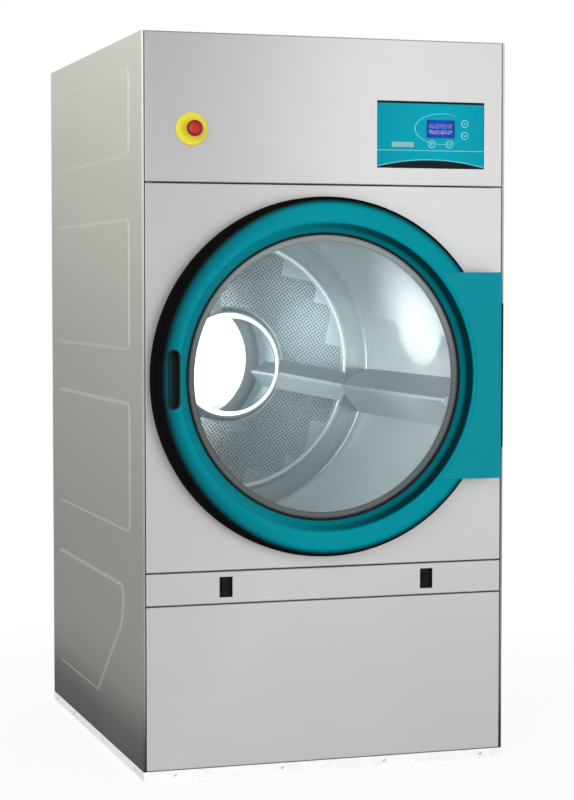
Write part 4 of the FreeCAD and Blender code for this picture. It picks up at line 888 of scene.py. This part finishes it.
FINISHES = {
    "brushed_stainless": (brushed_stainless,),
    "satin_paint": (satin, SIDE_SHADE_TONES),
    "satin_cover": (satin, COVER_SHADE_TONES),
    "galvanised": (galvanised,),
    "ring_paint": (ring_paint,),
    "plate_paint": (plate_paint,),
    "cup_plastic": (cup_plastic,),
    "black_plastic": (grained, "black", 0.45, 900.0),
    "black_paint": (grained, "black", 0.35, 300.0),
    "black_rubber": (grained, "black", 0.60, 500.0),
    "grey_rubber": (grey_rubber,),
    "turned_steel": (grained, "bright_steel", 0.32, 400.0, 0.9),
    "pan_steel": (grained, "bright_steel", 0.38, 300.0, 0.7, 0.85),
    "casting": (grained, "casting", 0.62, 220.0, 0.3),
    "board": (grained, "board", 0.45, 160.0),
    "drum_sheet": (drum_sheet,),
    "drum_back_sheet": (drum_back_sheet,),
    "clear_glass": (clear_glass,),
    "control_print": (control_print,),
    "display_face": (display_face,),
    "stop_film": (stop_film,),
    "stop_head_plastic": (stop_head_plastic,),
    "filter_mesh": (filter_mesh,),
}
made_finishes = {}


def material(finish):
    """Return a finish, made at its first use."""
    if finish not in made_finishes:
        recipe = Recipe(bpy.data.materials.new(finish))
        build, *values = FINISHES[finish]
        build(recipe, bpy.context.scene.dryer_colours, *values)
        made_finishes[finish] = recipe.owner
    return made_finishes[finish]


# Finishes of the nodes that are carried over from the CAD model

CARRIED_OVER = {
    "galvanised": ("base_frame", "tub_shell", "rear_bulkhead", "air_chute", "filter_housing", "filter_frame",
                   "fan_housing", "heater_box"),
    "satin_cover": ("air_inlet_grille",),
    "black_paint": ("hinge_brackets", "hinge_knuckle"),
    "black_plastic": ("estop_contact_block", "estop_plunger", "control_housing", "door_catch"),
    "turned_steel": ("hinge_pin", "drum_shaft", "shaft_bearing", "heater_elements"),
    "pan_steel": ("door_inner_pan",),
    "filter_mesh": ("filter_screen",),
    "casting": ("bearing_housing", "drum_pulley", "motor_pulley", "fan_impeller", "drum_motor", "fan_motor"),
    "black_rubber": ("door_seal", "drum_belt"),
    "control_print": ("control_overlay",),
    "display_face": ("display_window",),
    "board": ("control_board",),
}


# Operators

class Step:
    """What the operators share: each builds its pieces from the sizes on the scene."""

    def execute(self, context):
        self.build(context.scene.dryer_sizes)
        return {"FINISHED"}


class DRYER_OT_front_panels(Step, bpy.types.Operator):
    """Fold the four front panels from sheet, with their window, mouth and latch openings"""

    bl_idname = "dryer.front_panels"
    bl_label = "Front panels"

    def build(self, sizes):
        fold_depth = 0.0217
        tools = {
            "control_fascia": self.window_tools,
            "door_surround_panel": self.mouth_tools,
            "drawer_front": self.latch_tools,
            "lower_front_panel": list,
        }
        for node, make_tools in tools.items():
            low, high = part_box(node)
            high.y = min(high.y, FRONT + fold_depth)
            panel = block(f"{node}_sheet", low, high)
            with editing(panel):
                pick_facing(panel, y=1.0)
                bpy.ops.mesh.delete(type="FACE")
                pick(panel, "EDGE", lambda middle, way: not near_to(middle.y, high.y))
                bpy.ops.mesh.bevel(offset=sizes.panel_bend, segments=4)
            modify(panel, "SOLIDIFY", thickness=sizes.sheet_gauge, offset=-1.0)
            carve(panel, *make_tools())
            if node == "door_surround_panel":
                joined(panel, self.collar())
            body = "filter_drawer" if node == "drawer_front" else "cabinet"
            dress(panel, body, "brushed_stainless", [node], sheet=True)

    def window_tools(self):
        """Return the cutters of the control window and of the stop button's hole."""
        gap, hole_radius = 0.0003, 0.0113
        low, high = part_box("control_overlay")
        window = block("window_tool", low - Vector((gap, 0.02, gap)), high + Vector((gap, 0.01, gap)))
        centre = centre_of("estop_collar")
        return [window, round_bar("stop_tool", centre, hole_radius, (FRONT - 0.01, FRONT + 0.01))]

    def mouth_tools(self):
        """Return the cutter of the door mouth."""
        return [round_bar("mouth_tool", DOOR, MOUTH_RADIUS + 0.0008, (FRONT - 0.01, FRONT + 0.02), 144)]

    def latch_tools(self):
        """Return the cutters of the two latch openings."""
        gap = Vector((0.0002, 0.0, 0.0002))
        tools = []
        for low, high in latch_boxes():
            low.y, high.y = FRONT - 0.01, FRONT + 0.01
            tools.append(block("latch_tool", low - gap, high + gap))
        return tools

    def collar(self):
        """Return the rolled collar of the mouth."""
        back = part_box("door_surround_panel")[1].y
        inner, wall, outer, bend = MOUTH_RADIUS, MOUTH_RADIUS + 0.0015, MOUTH_RADIUS + 0.0040, 0.0008
        return turned("mouth_collar", [
            (inner, back), (inner, FRONT, bend), (outer, FRONT, bend), (outer, FRONT + 0.0015),
            (wall, FRONT + 0.0040), (wall, back),
        ])


class DRYER_OT_side_panels(Step, bpy.types.Operator):
    """Fold the two side panels and press their four fields"""

    bl_idname = "dryer.side_panels"
    bl_label = "Side panels"

    def build(self, sizes):
        for node, side in (("left_side_panel", -1.0), ("right_side_panel", 1.0)):
            panel = self.folded(sizes, node, side)
            joined(panel, *(self.pressed(sizes, corners, side) for corners in self.outlines(sizes)))
            # the sloping walls of the pressed fields are marked for their painted highlight
            mark_faces(panel, PRESSED_EDGE, self.slopes)
            dress(panel, "cabinet", "satin_paint", [node], angle=35.0, sheet=True)

    def folded(self, sizes, node, side):
        """Draw the section of the sheet, extrude it to its height and give it its gauge."""
        low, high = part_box(node)
        outer = HALF_WIDTH * side
        lip, seat, seat_y = outer - 0.005 * side, outer - 0.030 * side, FRONT + 0.022
        section = [(seat, high.y, low.z), (outer, high.y, low.z), (outer, low.y, low.z), (lip, low.y, low.z),
                   (lip, seat_y, low.z), (seat, seat_y, low.z)]
        panel = line(f"{node}_sheet", section)
        with editing(panel):
            round_corner(panel, Vector(section[2]), sizes.side_bend, 4)
            round_corner(panel, Vector(section[1]), sizes.side_bend, 3)
            select_all()
            extrude(0.0, 0.0, high.z - low.z)
            select_all()
            bpy.ops.mesh.normals_make_consistent(inside=False)
            face_outwards(panel, side)
        modify(panel, "SOLIDIFY", thickness=0.0012, offset=-1.0)
        return panel

    def outlines(self, sizes):
        """Return the corners of the four pressed fields as (y, z, bend), the last with a slanting foot."""
        near, far, bend = FRONT + 0.126, FRONT + 1.005, sizes.press_corner
        fields = [[(near, low, bend), (far, low, bend), (far, high, bend), (near, high, bend)]
                  for low, high in ((1.520, 1.740), (1.043, 1.369), (0.592, 0.916))]
        nose, low, high = FRONT + 0.200, 0.133, 0.457
        fields.append([(nose, high - 0.090, bend * 1.6), (nose + 0.300, low, bend * 0.2), (far, low, bend),
                       (far, high, bend), (nose, high, bend)])
        return fields

    def slopes(self, face):
        """Tell whether a face is a sloping wall of a pressed field, which gets a painted highlight lighter
        than the sheet.
        """
        return abs(face.center.x) > HALF_WIDTH - TINY and abs(face.normal.x) < 0.999

    def pressed(self, sizes, corners, side):
        """Draw the outline of a field, fill it and raise it with sloping walls."""
        places = [Vector((HALF_WIDTH * side, y, z)) for y, z, bend in corners]
        field = line("pressed_field", places)
        with editing(field):
            close_line(field, places)
            for place, corner in zip(places, corners):
                round_corner(field, place, corner[2], BEND_STEPS)
            select_all()
            bpy.ops.mesh.edge_face_add()
            face_outwards(field, side)
            pick(field, "FACE", lambda middle, normal: True)
            for wall, rise in ((0.0012, 0.10), (sizes.press_wall, 0.80), (0.0012, 0.10)):
                bpy.ops.mesh.inset(thickness=wall, depth=sizes.press_height * rise)
        return field


class DRYER_OT_lid_and_rear(Step, bpy.types.Operator):
    """Cut the lid and the two rear covers"""

    bl_idname = "dryer.lid_and_rear"
    bl_label = "Lid and rear covers"

    def build(self, sizes):
        gauge = 0.0012
        low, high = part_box("top_panel")
        lid = block("lid", (low.x, low.y, high.z - gauge), high)
        with editing(lid):
            pick(lid, "EDGE", lambda middle, way: near_to(middle.z, high.z))
            bpy.ops.mesh.bevel(offset=0.0011, segments=3)
        dress(lid, "cabinet", "satin_cover", ["top_panel"], sheet=True)
        for node, tool in (("rear_upper_panel", self.inlet()), ("rear_lower_panel", self.outlet())):
            cover = block(f"{node}_sheet", *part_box(node))
            carve(cover, tool)
            soften(cover, 0.0005)
            dress(cover, "cabinet", "satin_cover", [node], sheet=True)

    def inlet(self):
        """Return the cutter of the air inlet, which leaves an edge behind the grille."""
        low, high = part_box("air_inlet_grille")
        edge = Vector((0.020, -0.020, 0.020))
        return block("inlet_tool", low + edge, high - edge)

    def outlet(self):
        """Return the cutter of the exhaust opening."""
        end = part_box("exhaust_spigot")[1].y
        return round_bar("spigot_tool", centre_of("exhaust_spigot"), 0.1003, (end - 0.10, end), 96)


class DRYER_OT_exhaust(Step, bpy.types.Operator):
    """Turn the exhaust stub with its flange and rolled end"""

    bl_idname = "dryer.exhaust"
    bl_label = "Exhaust stub"

    def build(self, sizes):
        low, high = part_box("exhaust_spigot")
        centre, flange = centre_of("exhaust_spigot"), radius_of("exhaust_spigot")
        inner, outer = 0.0985, 0.1000
        stub = turned("exhaust_stub", [
            (inner, low.y), (flange, low.y), (flange, low.y + 0.003), (outer, low.y + 0.003, 0.001),
            (outer, high.y - 0.016, 0.002), (outer + 0.0015, high.y - 0.012, 0.001),
            (outer, high.y - 0.008, 0.002), (outer, high.y), (inner, high.y),
        ], centre, steps=96)
        joined(stub, self.closing_plate(centre, inner, low.y))
        dress(stub, "cabinet", "galvanised", ["exhaust_spigot"])

    def closing_plate(self, centre, radius, near):
        """Return the plate that closes the round stub beside the narrower fan duct."""
        x, z = centre
        duct_half = 0.080
        plate = round_bar("duct_plate", centre, radius + 0.0003, (near + 0.0004, near + 0.0018), 96)
        carve(plate, block("duct_tool", (x - duct_half, near - 0.01, z - radius * 2),
                           (x + duct_half, near + 0.01, z + radius * 2)))
        return plate


class DRYER_OT_screws(Step, bpy.types.Operator):
    """Model one cross-head screw and set copies along the base and the rear covers"""

    bl_idname = "dryer.screws"
    bl_label = "Screws"

    def build(self, sizes):
        first = self.screw(sizes)
        for index, (place, turn) in enumerate(self.places()):
            screw = copied(first, f"screw_{index + 1:02d}")
            with editing(screw):
                select_all()
                bpy.ops.transform.rotate(value=-turn, orient_axis="Z", center_override=(0.0, 0.0, 0.0))
                bpy.ops.transform.translate(value=place)
            dress(screw, "cabinet", "turned_steel")
        bpy.data.objects.remove(first, do_unlink=True)

    def places(self):
        """Return the place of each screw and its turn from the front."""
        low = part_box("base_frame")[0]
        height = low.z + 0.0125
        places = [((x, low.y, height), 0.0) for x in (-0.392, -0.118, 0.150, 0.410)]
        for side in (-1.0, 1.0):
            places += [((HALF_WIDTH * side, y, height), side * math.pi / 2)
                       for y in (-0.46, -0.10, 0.26, 0.49)]
        edge, end, gaps = 0.018, 0.02, 3
        for node in ("rear_upper_panel", "rear_lower_panel"):
            low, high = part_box(node)
            pitch = (high.z - low.z - end * 2) / gaps
            places += [((x, high.y, low.z + end + pitch * step), math.pi)
                       for x in (low.x + edge, high.x - edge) for step in range(gaps + 1)]
        return places

    def screw(self, sizes):
        """Return a pan head with a cross recess, facing -Y at the origin."""
        radius, rise = sizes.screw_radius, sizes.screw_height
        head = turned("screw_first", [
            (0.0, -rise), (radius * 0.55, -rise), (radius, -rise * 0.35), (radius, 0.0),
        ], (0.0, 0.0), closed=False, steps=16)
        slot, reach = radius * 0.13, radius * 0.60
        for x, z in ((reach, slot), (slot, reach)):
            carve(head, block("slot_tool", (-x, -rise * 2, -z), (x, -rise * 0.4, z)))
        return head


class DRYER_OT_door_ring(Step, bpy.types.Operator):
    """Turn the thick door ring, cut its finger slot and set the cup and its lip into it"""

    bl_idname = "dryer.door_ring"
    bl_label = "Door ring"

    def build(self, sizes):
        face, wall, shoulder = DOOR_FACE, sizes.door_wall, sizes.door_shoulder
        flat, bevel = sizes.face_inner, sizes.bevel_inner
        bevel_y = face + sizes.bevel_depth
        ring = turned("door_ring_turned", [
            (DOOR_RADIUS, DOOR_BACK, 0.001), (DOOR_RADIUS, face, shoulder),
            (DOOR_RADIUS - shoulder - 0.002, face), (flat + 0.006, face), (flat, face, 0.0040),
            (bevel, bevel_y, 0.001), (bevel, bevel_y + wall), (flat, face + wall),
            (DOOR_RADIUS - shoulder, face + wall), (DOOR_RADIUS - wall, face + shoulder),
            (DOOR_RADIUS - wall, DOOR_BACK),
        ])
        carve(ring, self.slot(sizes, "slot_tool", 0.0002, (face - 0.02, face + 0.02)))
        dress(ring, "door", "ring_paint", ["door_ring"], angle=24.0)

        cup = self.slot(sizes, "finger_cup", -0.0001, (face + 0.0004, face + sizes.slot_depth))
        with editing(cup):
            hollow(cup, sizes.slot_depth * 0.86)
            bpy.ops.mesh.bevel(offset=0.004, segments=3)
        dress(cup, "door", "cup_plastic", ["door_handle_cup"])

        lip = self.slot(sizes, "finger_lip", 0.0022, (face - 0.0008, face + 0.0002))
        with editing(lip):
            pick(lip, "FACE", lambda middle, normal: abs(normal.y) > FACING)
            bpy.ops.mesh.inset(thickness=0.0036, depth=0.0, use_individual=True)
            bpy.ops.mesh.bridge_edge_loops()
        soften(lip, 0.0003)
        dress(lip, "door", "black_plastic")

    def slot(self, sizes, name, grow, y_span):
        """Return an upright bar with round ends at the place of the finger slot."""
        x, z = centre_of("door_handle_cup")
        half_x, half_z = sizes.slot_width / 2 + grow, sizes.slot_length / 2 + grow
        bar = block(name, (x - half_x, y_span[0], z - half_z), (x + half_x, y_span[1], z + half_z))
        with editing(bar):
            pick(bar, "EDGE", lambda middle, way: abs(way.y) > FACING)
            bpy.ops.mesh.bevel(offset=half_x * 0.999, segments=12)
            select_all()
            bpy.ops.mesh.remove_doubles(threshold=SEAM)
        return bar


class DRYER_OT_glazing(Step, bpy.types.Operator):
    """Turn the gasket, its black lip and the glass"""

    bl_idname = "dryer.glazing"
    bl_label = "Gasket and glass"

    def build(self, sizes):
        low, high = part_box("door_gasket")
        outer, inner = radius_of("door_gasket"), sizes.bevel_inner - 0.019
        step = low.y + 0.0035
        gasket = turned("gasket_turned", [
            (inner, high.y), (inner, step, 0.002), (inner + 0.006, low.y, 0.003),
            (outer - 0.007, low.y, 0.003), (outer - 0.004, step, 0.001), (outer, step, 0.001),
            (outer, high.y),
        ])
        dress(gasket, "door", "grey_rubber", ["door_gasket"])

        bevel_y = DOOR_FACE + sizes.bevel_depth
        lip = turned("gasket_lip", [
            (outer - 0.0042, bevel_y - 0.0010), (outer - 0.0030, bevel_y - 0.0042, 0.0008),
            (outer + 0.0012, bevel_y - 0.0042, 0.0008), (outer + 0.0026, bevel_y - 0.0022),
        ])
        dress(lip, "door", "black_rubber")

        low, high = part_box("door_glass")
        radius = radius_of("door_glass")
        pane = turned("door_pane", [
            (0.0, low.y), (radius, low.y, 0.001), (radius, high.y, 0.001), (0.0, high.y),
        ], closed=False)
        dress(pane, "door", "clear_glass", ["door_glass"])


class DRYER_OT_hinge_plate(Step, bpy.types.Operator):
    """Cut the flat hinge plate with its curved edge and its two returns"""

    bl_idname = "dryer.hinge_plate"
    bl_label = "Hinge plate"

    def build(self, sizes):
        low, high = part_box("door_hinge_plate")
        gauge = sizes.plate_gauge
        plate = block("hinge_plate_cut", low, (high.x, low.y + gauge, high.z))
        carve(plate, round_bar("arc_tool", DOOR, sizes.plate_arc, (low.y - 0.01, low.y + 0.02), 288))
        edge = DOOR_X + math.sqrt(DOOR_RADIUS ** 2 - ((high.z - low.z) / 2 - gauge) ** 2) + 0.0005
        joined(plate, *(block("plate_return", (edge, low.y + gauge, z), (high.x, high.y, z + gauge))
                        for z in (low.z, high.z - gauge)))
        soften(plate, 0.0007)
        dress(plate, "door", "plate_paint", ["door_hinge_plate"], sheet=True)


class DRYER_OT_drum_shell(Step, bpy.types.Operator):
    """Turn the drum shell with its front lip and its rolled bead"""

    bl_idname = "dryer.drum_shell"
    bl_label = "Drum shell"

    def build(self, sizes):
        low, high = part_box("drum_shell")
        outer, lip = radius_of("drum_shell"), 0.4020
        inner = outer - 0.0015
        lip_back = low.y + 0.0040
        bead = high.y - sizes.shell_bead
        width, rise = sizes.bead_width * 0.3, sizes.bead_height * 0.5
        shell = turned("drum_shell_turned", [
            (lip, low.y, 0.0005), (outer, low.y, 0.0020), (outer, high.y), (inner, high.y),
            (inner, bead + width, 0.001), (inner - rise, bead, 0.001), (inner, bead - width, 0.001),
            (inner, lip_back, 0.002), (lip, lip_back, 0.0015),
        ])
        dress(shell, "drum", "drum_sheet", ["drum_shell"])


class DRYER_OT_drum_back(Step, bpy.types.Operator):
    """Turn the rear wall of the drum with its raised hub and its bead"""

    bl_idname = "dryer.drum_back"
    bl_label = "Drum rear wall"

    def build(self, sizes):
        low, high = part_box("drum_rear_wall")
        seat, wall, hub = radius_of("drum_rear_wall"), high.y - 0.002, low.y
        width, rise, bead = sizes.bead_width / 2, sizes.bead_height, sizes.wall_bead
        radii = [0.0060 * step for step in range(24)]
        crown = [(radius, hub - 0.0030 + radius ** 2 / (2 * sizes.hub_crown)) for radius in radii]
        hollow_back = [(radius, y + 0.001) for radius, y in reversed(crown)]
        back = turned("drum_back_turned", [
            *crown, (0.1425, hub + 0.0003), (0.1470, hub + 0.0006), (0.1512, hub + 0.0040, 0.002),
            (0.1600, wall, 0.006), (0.1700, wall), (bead - width * 3, wall), (bead - width * 2, wall, 0.003),
            (bead, wall - rise, 0.004), (bead + width * 2, wall, 0.003), (bead + width * 3, wall),
            (seat - 0.0070, wall), (seat - 0.0044, wall), (seat - 0.0010, wall - 0.0022),
            (seat, wall - 0.0026), (seat, high.y), (0.1580, high.y), (0.1490, hub + 0.0050), *hollow_back,
        ], closed=False)
        dress(back, "drum", "drum_back_sheet", ["drum_rear_wall"])


class DRYER_OT_lifters(Step, bpy.types.Operator):
    """Model one lifter with its rib across the rear wall and copy it round the drum"""

    bl_idname = "dryer.lifters"
    bl_label = "Lifters"

    def build(self, sizes):
        low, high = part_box("drum_lifters")
        first = joined(self.bar(low.y, high.y), self.rib(high.y))
        # painted shade: the upper faces of the first lifter and its rib are marked, and the copies carry the
        # mark round the drum
        mark_faces(first, SHADED_FACE, lambda face: face.normal.z > 0.5)
        swung(first, -LIFTER_TILT)
        lifters = [first]
        for index in range(1, LIFTERS):
            lifter = copied(first, f"lifter_{index + 1}")
            swung(lifter, index * FULL_TURN / LIFTERS)
            lifters.append(lifter)
        for lifter in lifters:
            dress(lifter, "drum", "drum_sheet", sheet=True)
        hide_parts("drum_lifters")

    def bar(self, near, far):
        """Return the ridged bar of a lifter, on the right of the drum's middle."""
        base, tip, half, ridge = 0.4196, 0.3452, 0.0645, 0.0040
        section = [(base, -half), (tip, -ridge), (tip, ridge), (base, half)]
        bar = line("lifter_1", [(DOOR_X + u, near, DOOR_Z + v) for u, v in section])
        crest = DOOR_X + tip + TINY
        with editing(bar):
            select_all()
            bpy.ops.mesh.edge_face_add()
            select_all()
            extrude(0.0, far - near, 0.0)
            select_all()
            bpy.ops.mesh.normals_make_consistent(inside=False)
            pick(bar, "EDGE", lambda middle, way: abs(way.y) > FACING and middle.x < crest)
            bpy.ops.mesh.bevel(offset=0.0022, segments=3)
            pick(bar, "EDGE", lambda middle, way: near_to(middle.y, near))
            bpy.ops.mesh.bevel(offset=0.0040, segments=3)
        return bar

    def rib(self, far):
        """Return the rib from the hub to the bar, with sloping sides."""
        start, end, half, top = 0.1485, 0.3600, 0.0420, 0.0040
        near = far - 0.0275
        rib = block("lifter_rib", (DOOR_X + start, near, DOOR_Z - half), (DOOR_X + end, far, DOOR_Z + half))
        with editing(rib):
            pick_facing(rib, y=-1.0)
            bpy.ops.transform.resize(value=(1.0, 1.0, top / half), center_override=(DOOR_X, far, DOOR_Z))
            pick(rib, "EDGE", lambda middle, way: near_to(middle.y, near) and abs(way.x) > FACING)
            bpy.ops.mesh.bevel(offset=0.0025, segments=3)
        return rib


class DRYER_OT_control_face(Step, bpy.types.Operator):
    """Turn the four round keys of the control face"""

    bl_idname = "dryer.control_face"
    bl_label = "Keys"

    def build(self, sizes):
        for node, (body, _) in KEYS.items():
            low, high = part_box(node)
            radius = radius_of(node) * 0.985
            key = turned(f"{node}_turned", [
                (0.0, low.y), (radius * 0.7, low.y + 0.00005), (radius, low.y + 0.0004, 0.0002),
                (radius, high.y), (0.0, high.y),
            ], centre_of(node), closed=False, steps=48)
            dress(key, body, "control_print", [node])


class DRYER_OT_stop_button(Step, bpy.types.Operator):
    """Turn the yellow collar and the domed head of the emergency stop"""

    bl_idname = "dryer.stop_button"
    bl_label = "Stop button"

    def build(self, sizes):
        centre = centre_of("estop_collar")
        low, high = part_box("estop_collar")
        radius, hole = radius_of("estop_collar"), 0.0115
        collar = turned("stop_collar_turned", [
            (hole, high.y), (hole, low.y + 0.001), (0.026, low.y, 0.004), (radius - 0.001, low.y, 0.0012),
            (radius, low.y + 0.0014, 0.0008), (radius, high.y),
        ], centre, steps=96)
        dress(collar, "cabinet", "stop_film", ["estop_collar"])
        low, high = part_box("estop_head")
        radius = radius_of("estop_head")
        head = turned("stop_head_turned", [
            (0.0, low.y), (radius * 0.45, low.y + 0.0004, 0.006), (radius * 0.88, low.y + 0.0042, 0.004),
            (radius, low.y + 0.0090, 0.003), (radius * 0.90, high.y - 0.0005, 0.001), (0.0, high.y),
        ], centre, closed=False, steps=64)
        dress(head, "stop_head", "stop_head_plastic", ["estop_head"])


class DRYER_OT_latches(Step, bpy.types.Operator):
    """Model the recessed latch cups and their ridged sliders"""

    bl_idname = "dryer.latches"
    bl_label = "Latches"

    def build(self, sizes):
        for index, (low, high) in enumerate(latch_boxes()):
            cup = block(f"latch_cup_{index + 1}", low, high)
            with editing(cup):
                hollow(cup, high.y - low.y - CUP_WALL)
            soften(cup, 0.0005)
            dress(cup, "filter_drawer", "black_plastic", sheet=True)
        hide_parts("latch_cups")
        for node, body in (("latch_slider_left", "left_latch"), ("latch_slider_right", "right_latch")):
            dress(self.slider(node), body, "black_plastic", [node])

    def slider(self, node):
        """Return a thumb slider with upright ridges and a groove between each two."""
        low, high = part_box(node)
        slider = block(f"{node}_ridged", low, high)
        strips, groove_depth = 9, 0.0022
        pitch = (high.x - low.x) / strips
        with editing(slider):
            for step in range(1, strips):
                pick_facing(slider, y=-1.0)
                bpy.ops.mesh.bisect(plane_co=(low.x + pitch * step, low.y, 0.0), plane_no=(1.0, 0.0, 0.0))
            pick(slider, "FACE",
                 lambda middle, normal: normal.y < -FACING and int((middle.x - low.x) / pitch) % 2 == 1)
            extrude(0.0, groove_depth, 0.0)
        soften(slider, 0.0003, segments=1)
        return slider


class DRYER_OT_plain_nodes(Step, bpy.types.Operator):
    """Give the carried-over pieces their finishes"""

    bl_idname = "dryer.plain_nodes"
    bl_label = "Finishes of carried-over pieces"

    def build(self, sizes):
        for finish, nodes in CARRIED_OVER.items():
            for node in nodes:
                coat(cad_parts[node], finish)
        shown = {node for node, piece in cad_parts.items() if not piece.hide_render}
        bare = shown.difference(*CARRIED_OVER.values())
        if bare:
            raise RuntimeError(f"no finish for {sorted(bare)}")


class DRYER_OT_studio(Step, bpy.types.Operator):
    """Set up the floor, the lamps, the surroundings and the camera"""

    bl_idname = "dryer.studio"
    bl_label = "Studio"

    def build(self, sizes):
        scene = bpy.context.scene
        studio = scene.dryer_studio
        self.floor(studio, scene.dryer_colours.floor)
        scene.world = self.surroundings(studio)
        for name, *values in LAMPS:
            self.lamp(f"{name}_lamp", getattr(studio, f"{name}_power"), *values)
        clear_selection()
        bpy.ops.object.camera_add(location=studio.place, rotation=studio.turn)
        camera = bpy.context.object
        camera.name = "studio_camera"
        camera.data.lens = studio.lens
        camera.data.clip_end = 60.0
        scene.camera = camera
        scene.view_settings.view_transform = "Standard"

    def floor(self, studio, tint):
        """Lay a pale floor that shows white with a faint shadow."""
        clear_selection()
        bpy.ops.mesh.primitive_plane_add(size=60.0, location=(0.0, 0.0, -0.0005))
        floor = named("studio_floor")
        recipe = Recipe(bpy.data.materials.new("studio_floor"))
        recipe.done(Base_Color=tint, Roughness=0.9)
        away = recipe.add("ShaderNodeVectorMath", {"operation": "LENGTH"}, {0: recipe.place()}, "Value")
        shaded = away.fade(0.9, studio.floor_reach) * studio.floor_shade
        recipe.show_white(recipe.seen() * (1.0 - shaded), "Principled BSDF", "ShaderNodeEmission",
                          "Material Output")
        floor.data.materials.append(recipe.owner)

    def surroundings(self, studio):
        """Return a world that lights the piece evenly and shows white behind it."""
        recipe = Recipe(bpy.data.worlds.new("studio_white"))
        light = recipe.tree.nodes["Background"]
        recipe.feed(light.inputs["Color"], WHITE)
        recipe.feed(light.inputs["Strength"], studio.ambient)
        recipe.show_white(recipe.seen(), "Background", "ShaderNodeBackground", "World Output")
        return recipe.owner

    def lamp(self, name, power, place, target, size, spread):
        """Hang a square soft lamp that points at a target."""
        clear_selection()
        turn = (Vector(place) - Vector(target)).to_track_quat("Z", "Y").to_euler()
        bpy.ops.object.light_add(type="AREA", location=place, rotation=turn)
        lamp = bpy.context.object
        lamp.name = name
        lamp.data.size = size
        lamp.data.energy = power
        lamp.data.spread = spread


OPERATORS = (
    DRYER_OT_front_panels,
    DRYER_OT_side_panels,
    DRYER_OT_lid_and_rear,
    DRYER_OT_exhaust,
    DRYER_OT_screws,
    DRYER_OT_door_ring,
    DRYER_OT_glazing,
    DRYER_OT_hinge_plate,
    DRYER_OT_drum_shell,
    DRYER_OT_drum_back,
    DRYER_OT_lifters,
    DRYER_OT_control_face,
    DRYER_OT_stop_button,
    DRYER_OT_latches,
    DRYER_OT_plain_nodes,
    DRYER_OT_studio,
)


class DRYER_PT_dressing(bpy.types.Panel):
    """Sizes, colours and steps of the dryer's dressing"""

    bl_idname = "DRYER_PT_dressing"
    bl_label = "Tumble dryer"
    bl_space_type = "VIEW_3D"
    bl_region_type = "UI"
    bl_category = "Dryer"

    def draw(self, context):
        scene = context.scene
        for title, settings in (("Sizes", scene.dryer_sizes), ("Colours", scene.dryer_colours),
                                ("Studio", scene.dryer_studio)):
            column = self.layout.column(heading=title)
            for key in settings.__annotations__:
                column.prop(settings, key)
        for operator in OPERATORS:
            self.layout.operator(operator.bl_idname)


CLASSES = (DryerSizes, DryerColours, DryerStudio, *OPERATORS, DRYER_PT_dressing)


def register():
    """Register the classes and hang the settings on the scene."""
    for entry in CLASSES:
        bpy.utils.register_class(entry)
    bpy.types.Scene.dryer_sizes = PointerProperty(type=DryerSizes)
    bpy.types.Scene.dryer_colours = PointerProperty(type=DryerColours)
    bpy.types.Scene.dryer_studio = PointerProperty(type=DryerStudio)


def unregister():
    """Take the settings and the classes away again."""
    del bpy.types.Scene.dryer_studio
    del bpy.types.Scene.dryer_colours
    del bpy.types.Scene.dryer_sizes
    for entry in reversed(CLASSES):
        bpy.utils.unregister_class(entry)


def main():
    """Build every piece in order."""
    register()
    for operator in OPERATORS:
        group, step = operator.bl_idname.split(".")
        getattr(getattr(bpy.ops, group), step)()


if __name__ == "__main__":
    main()
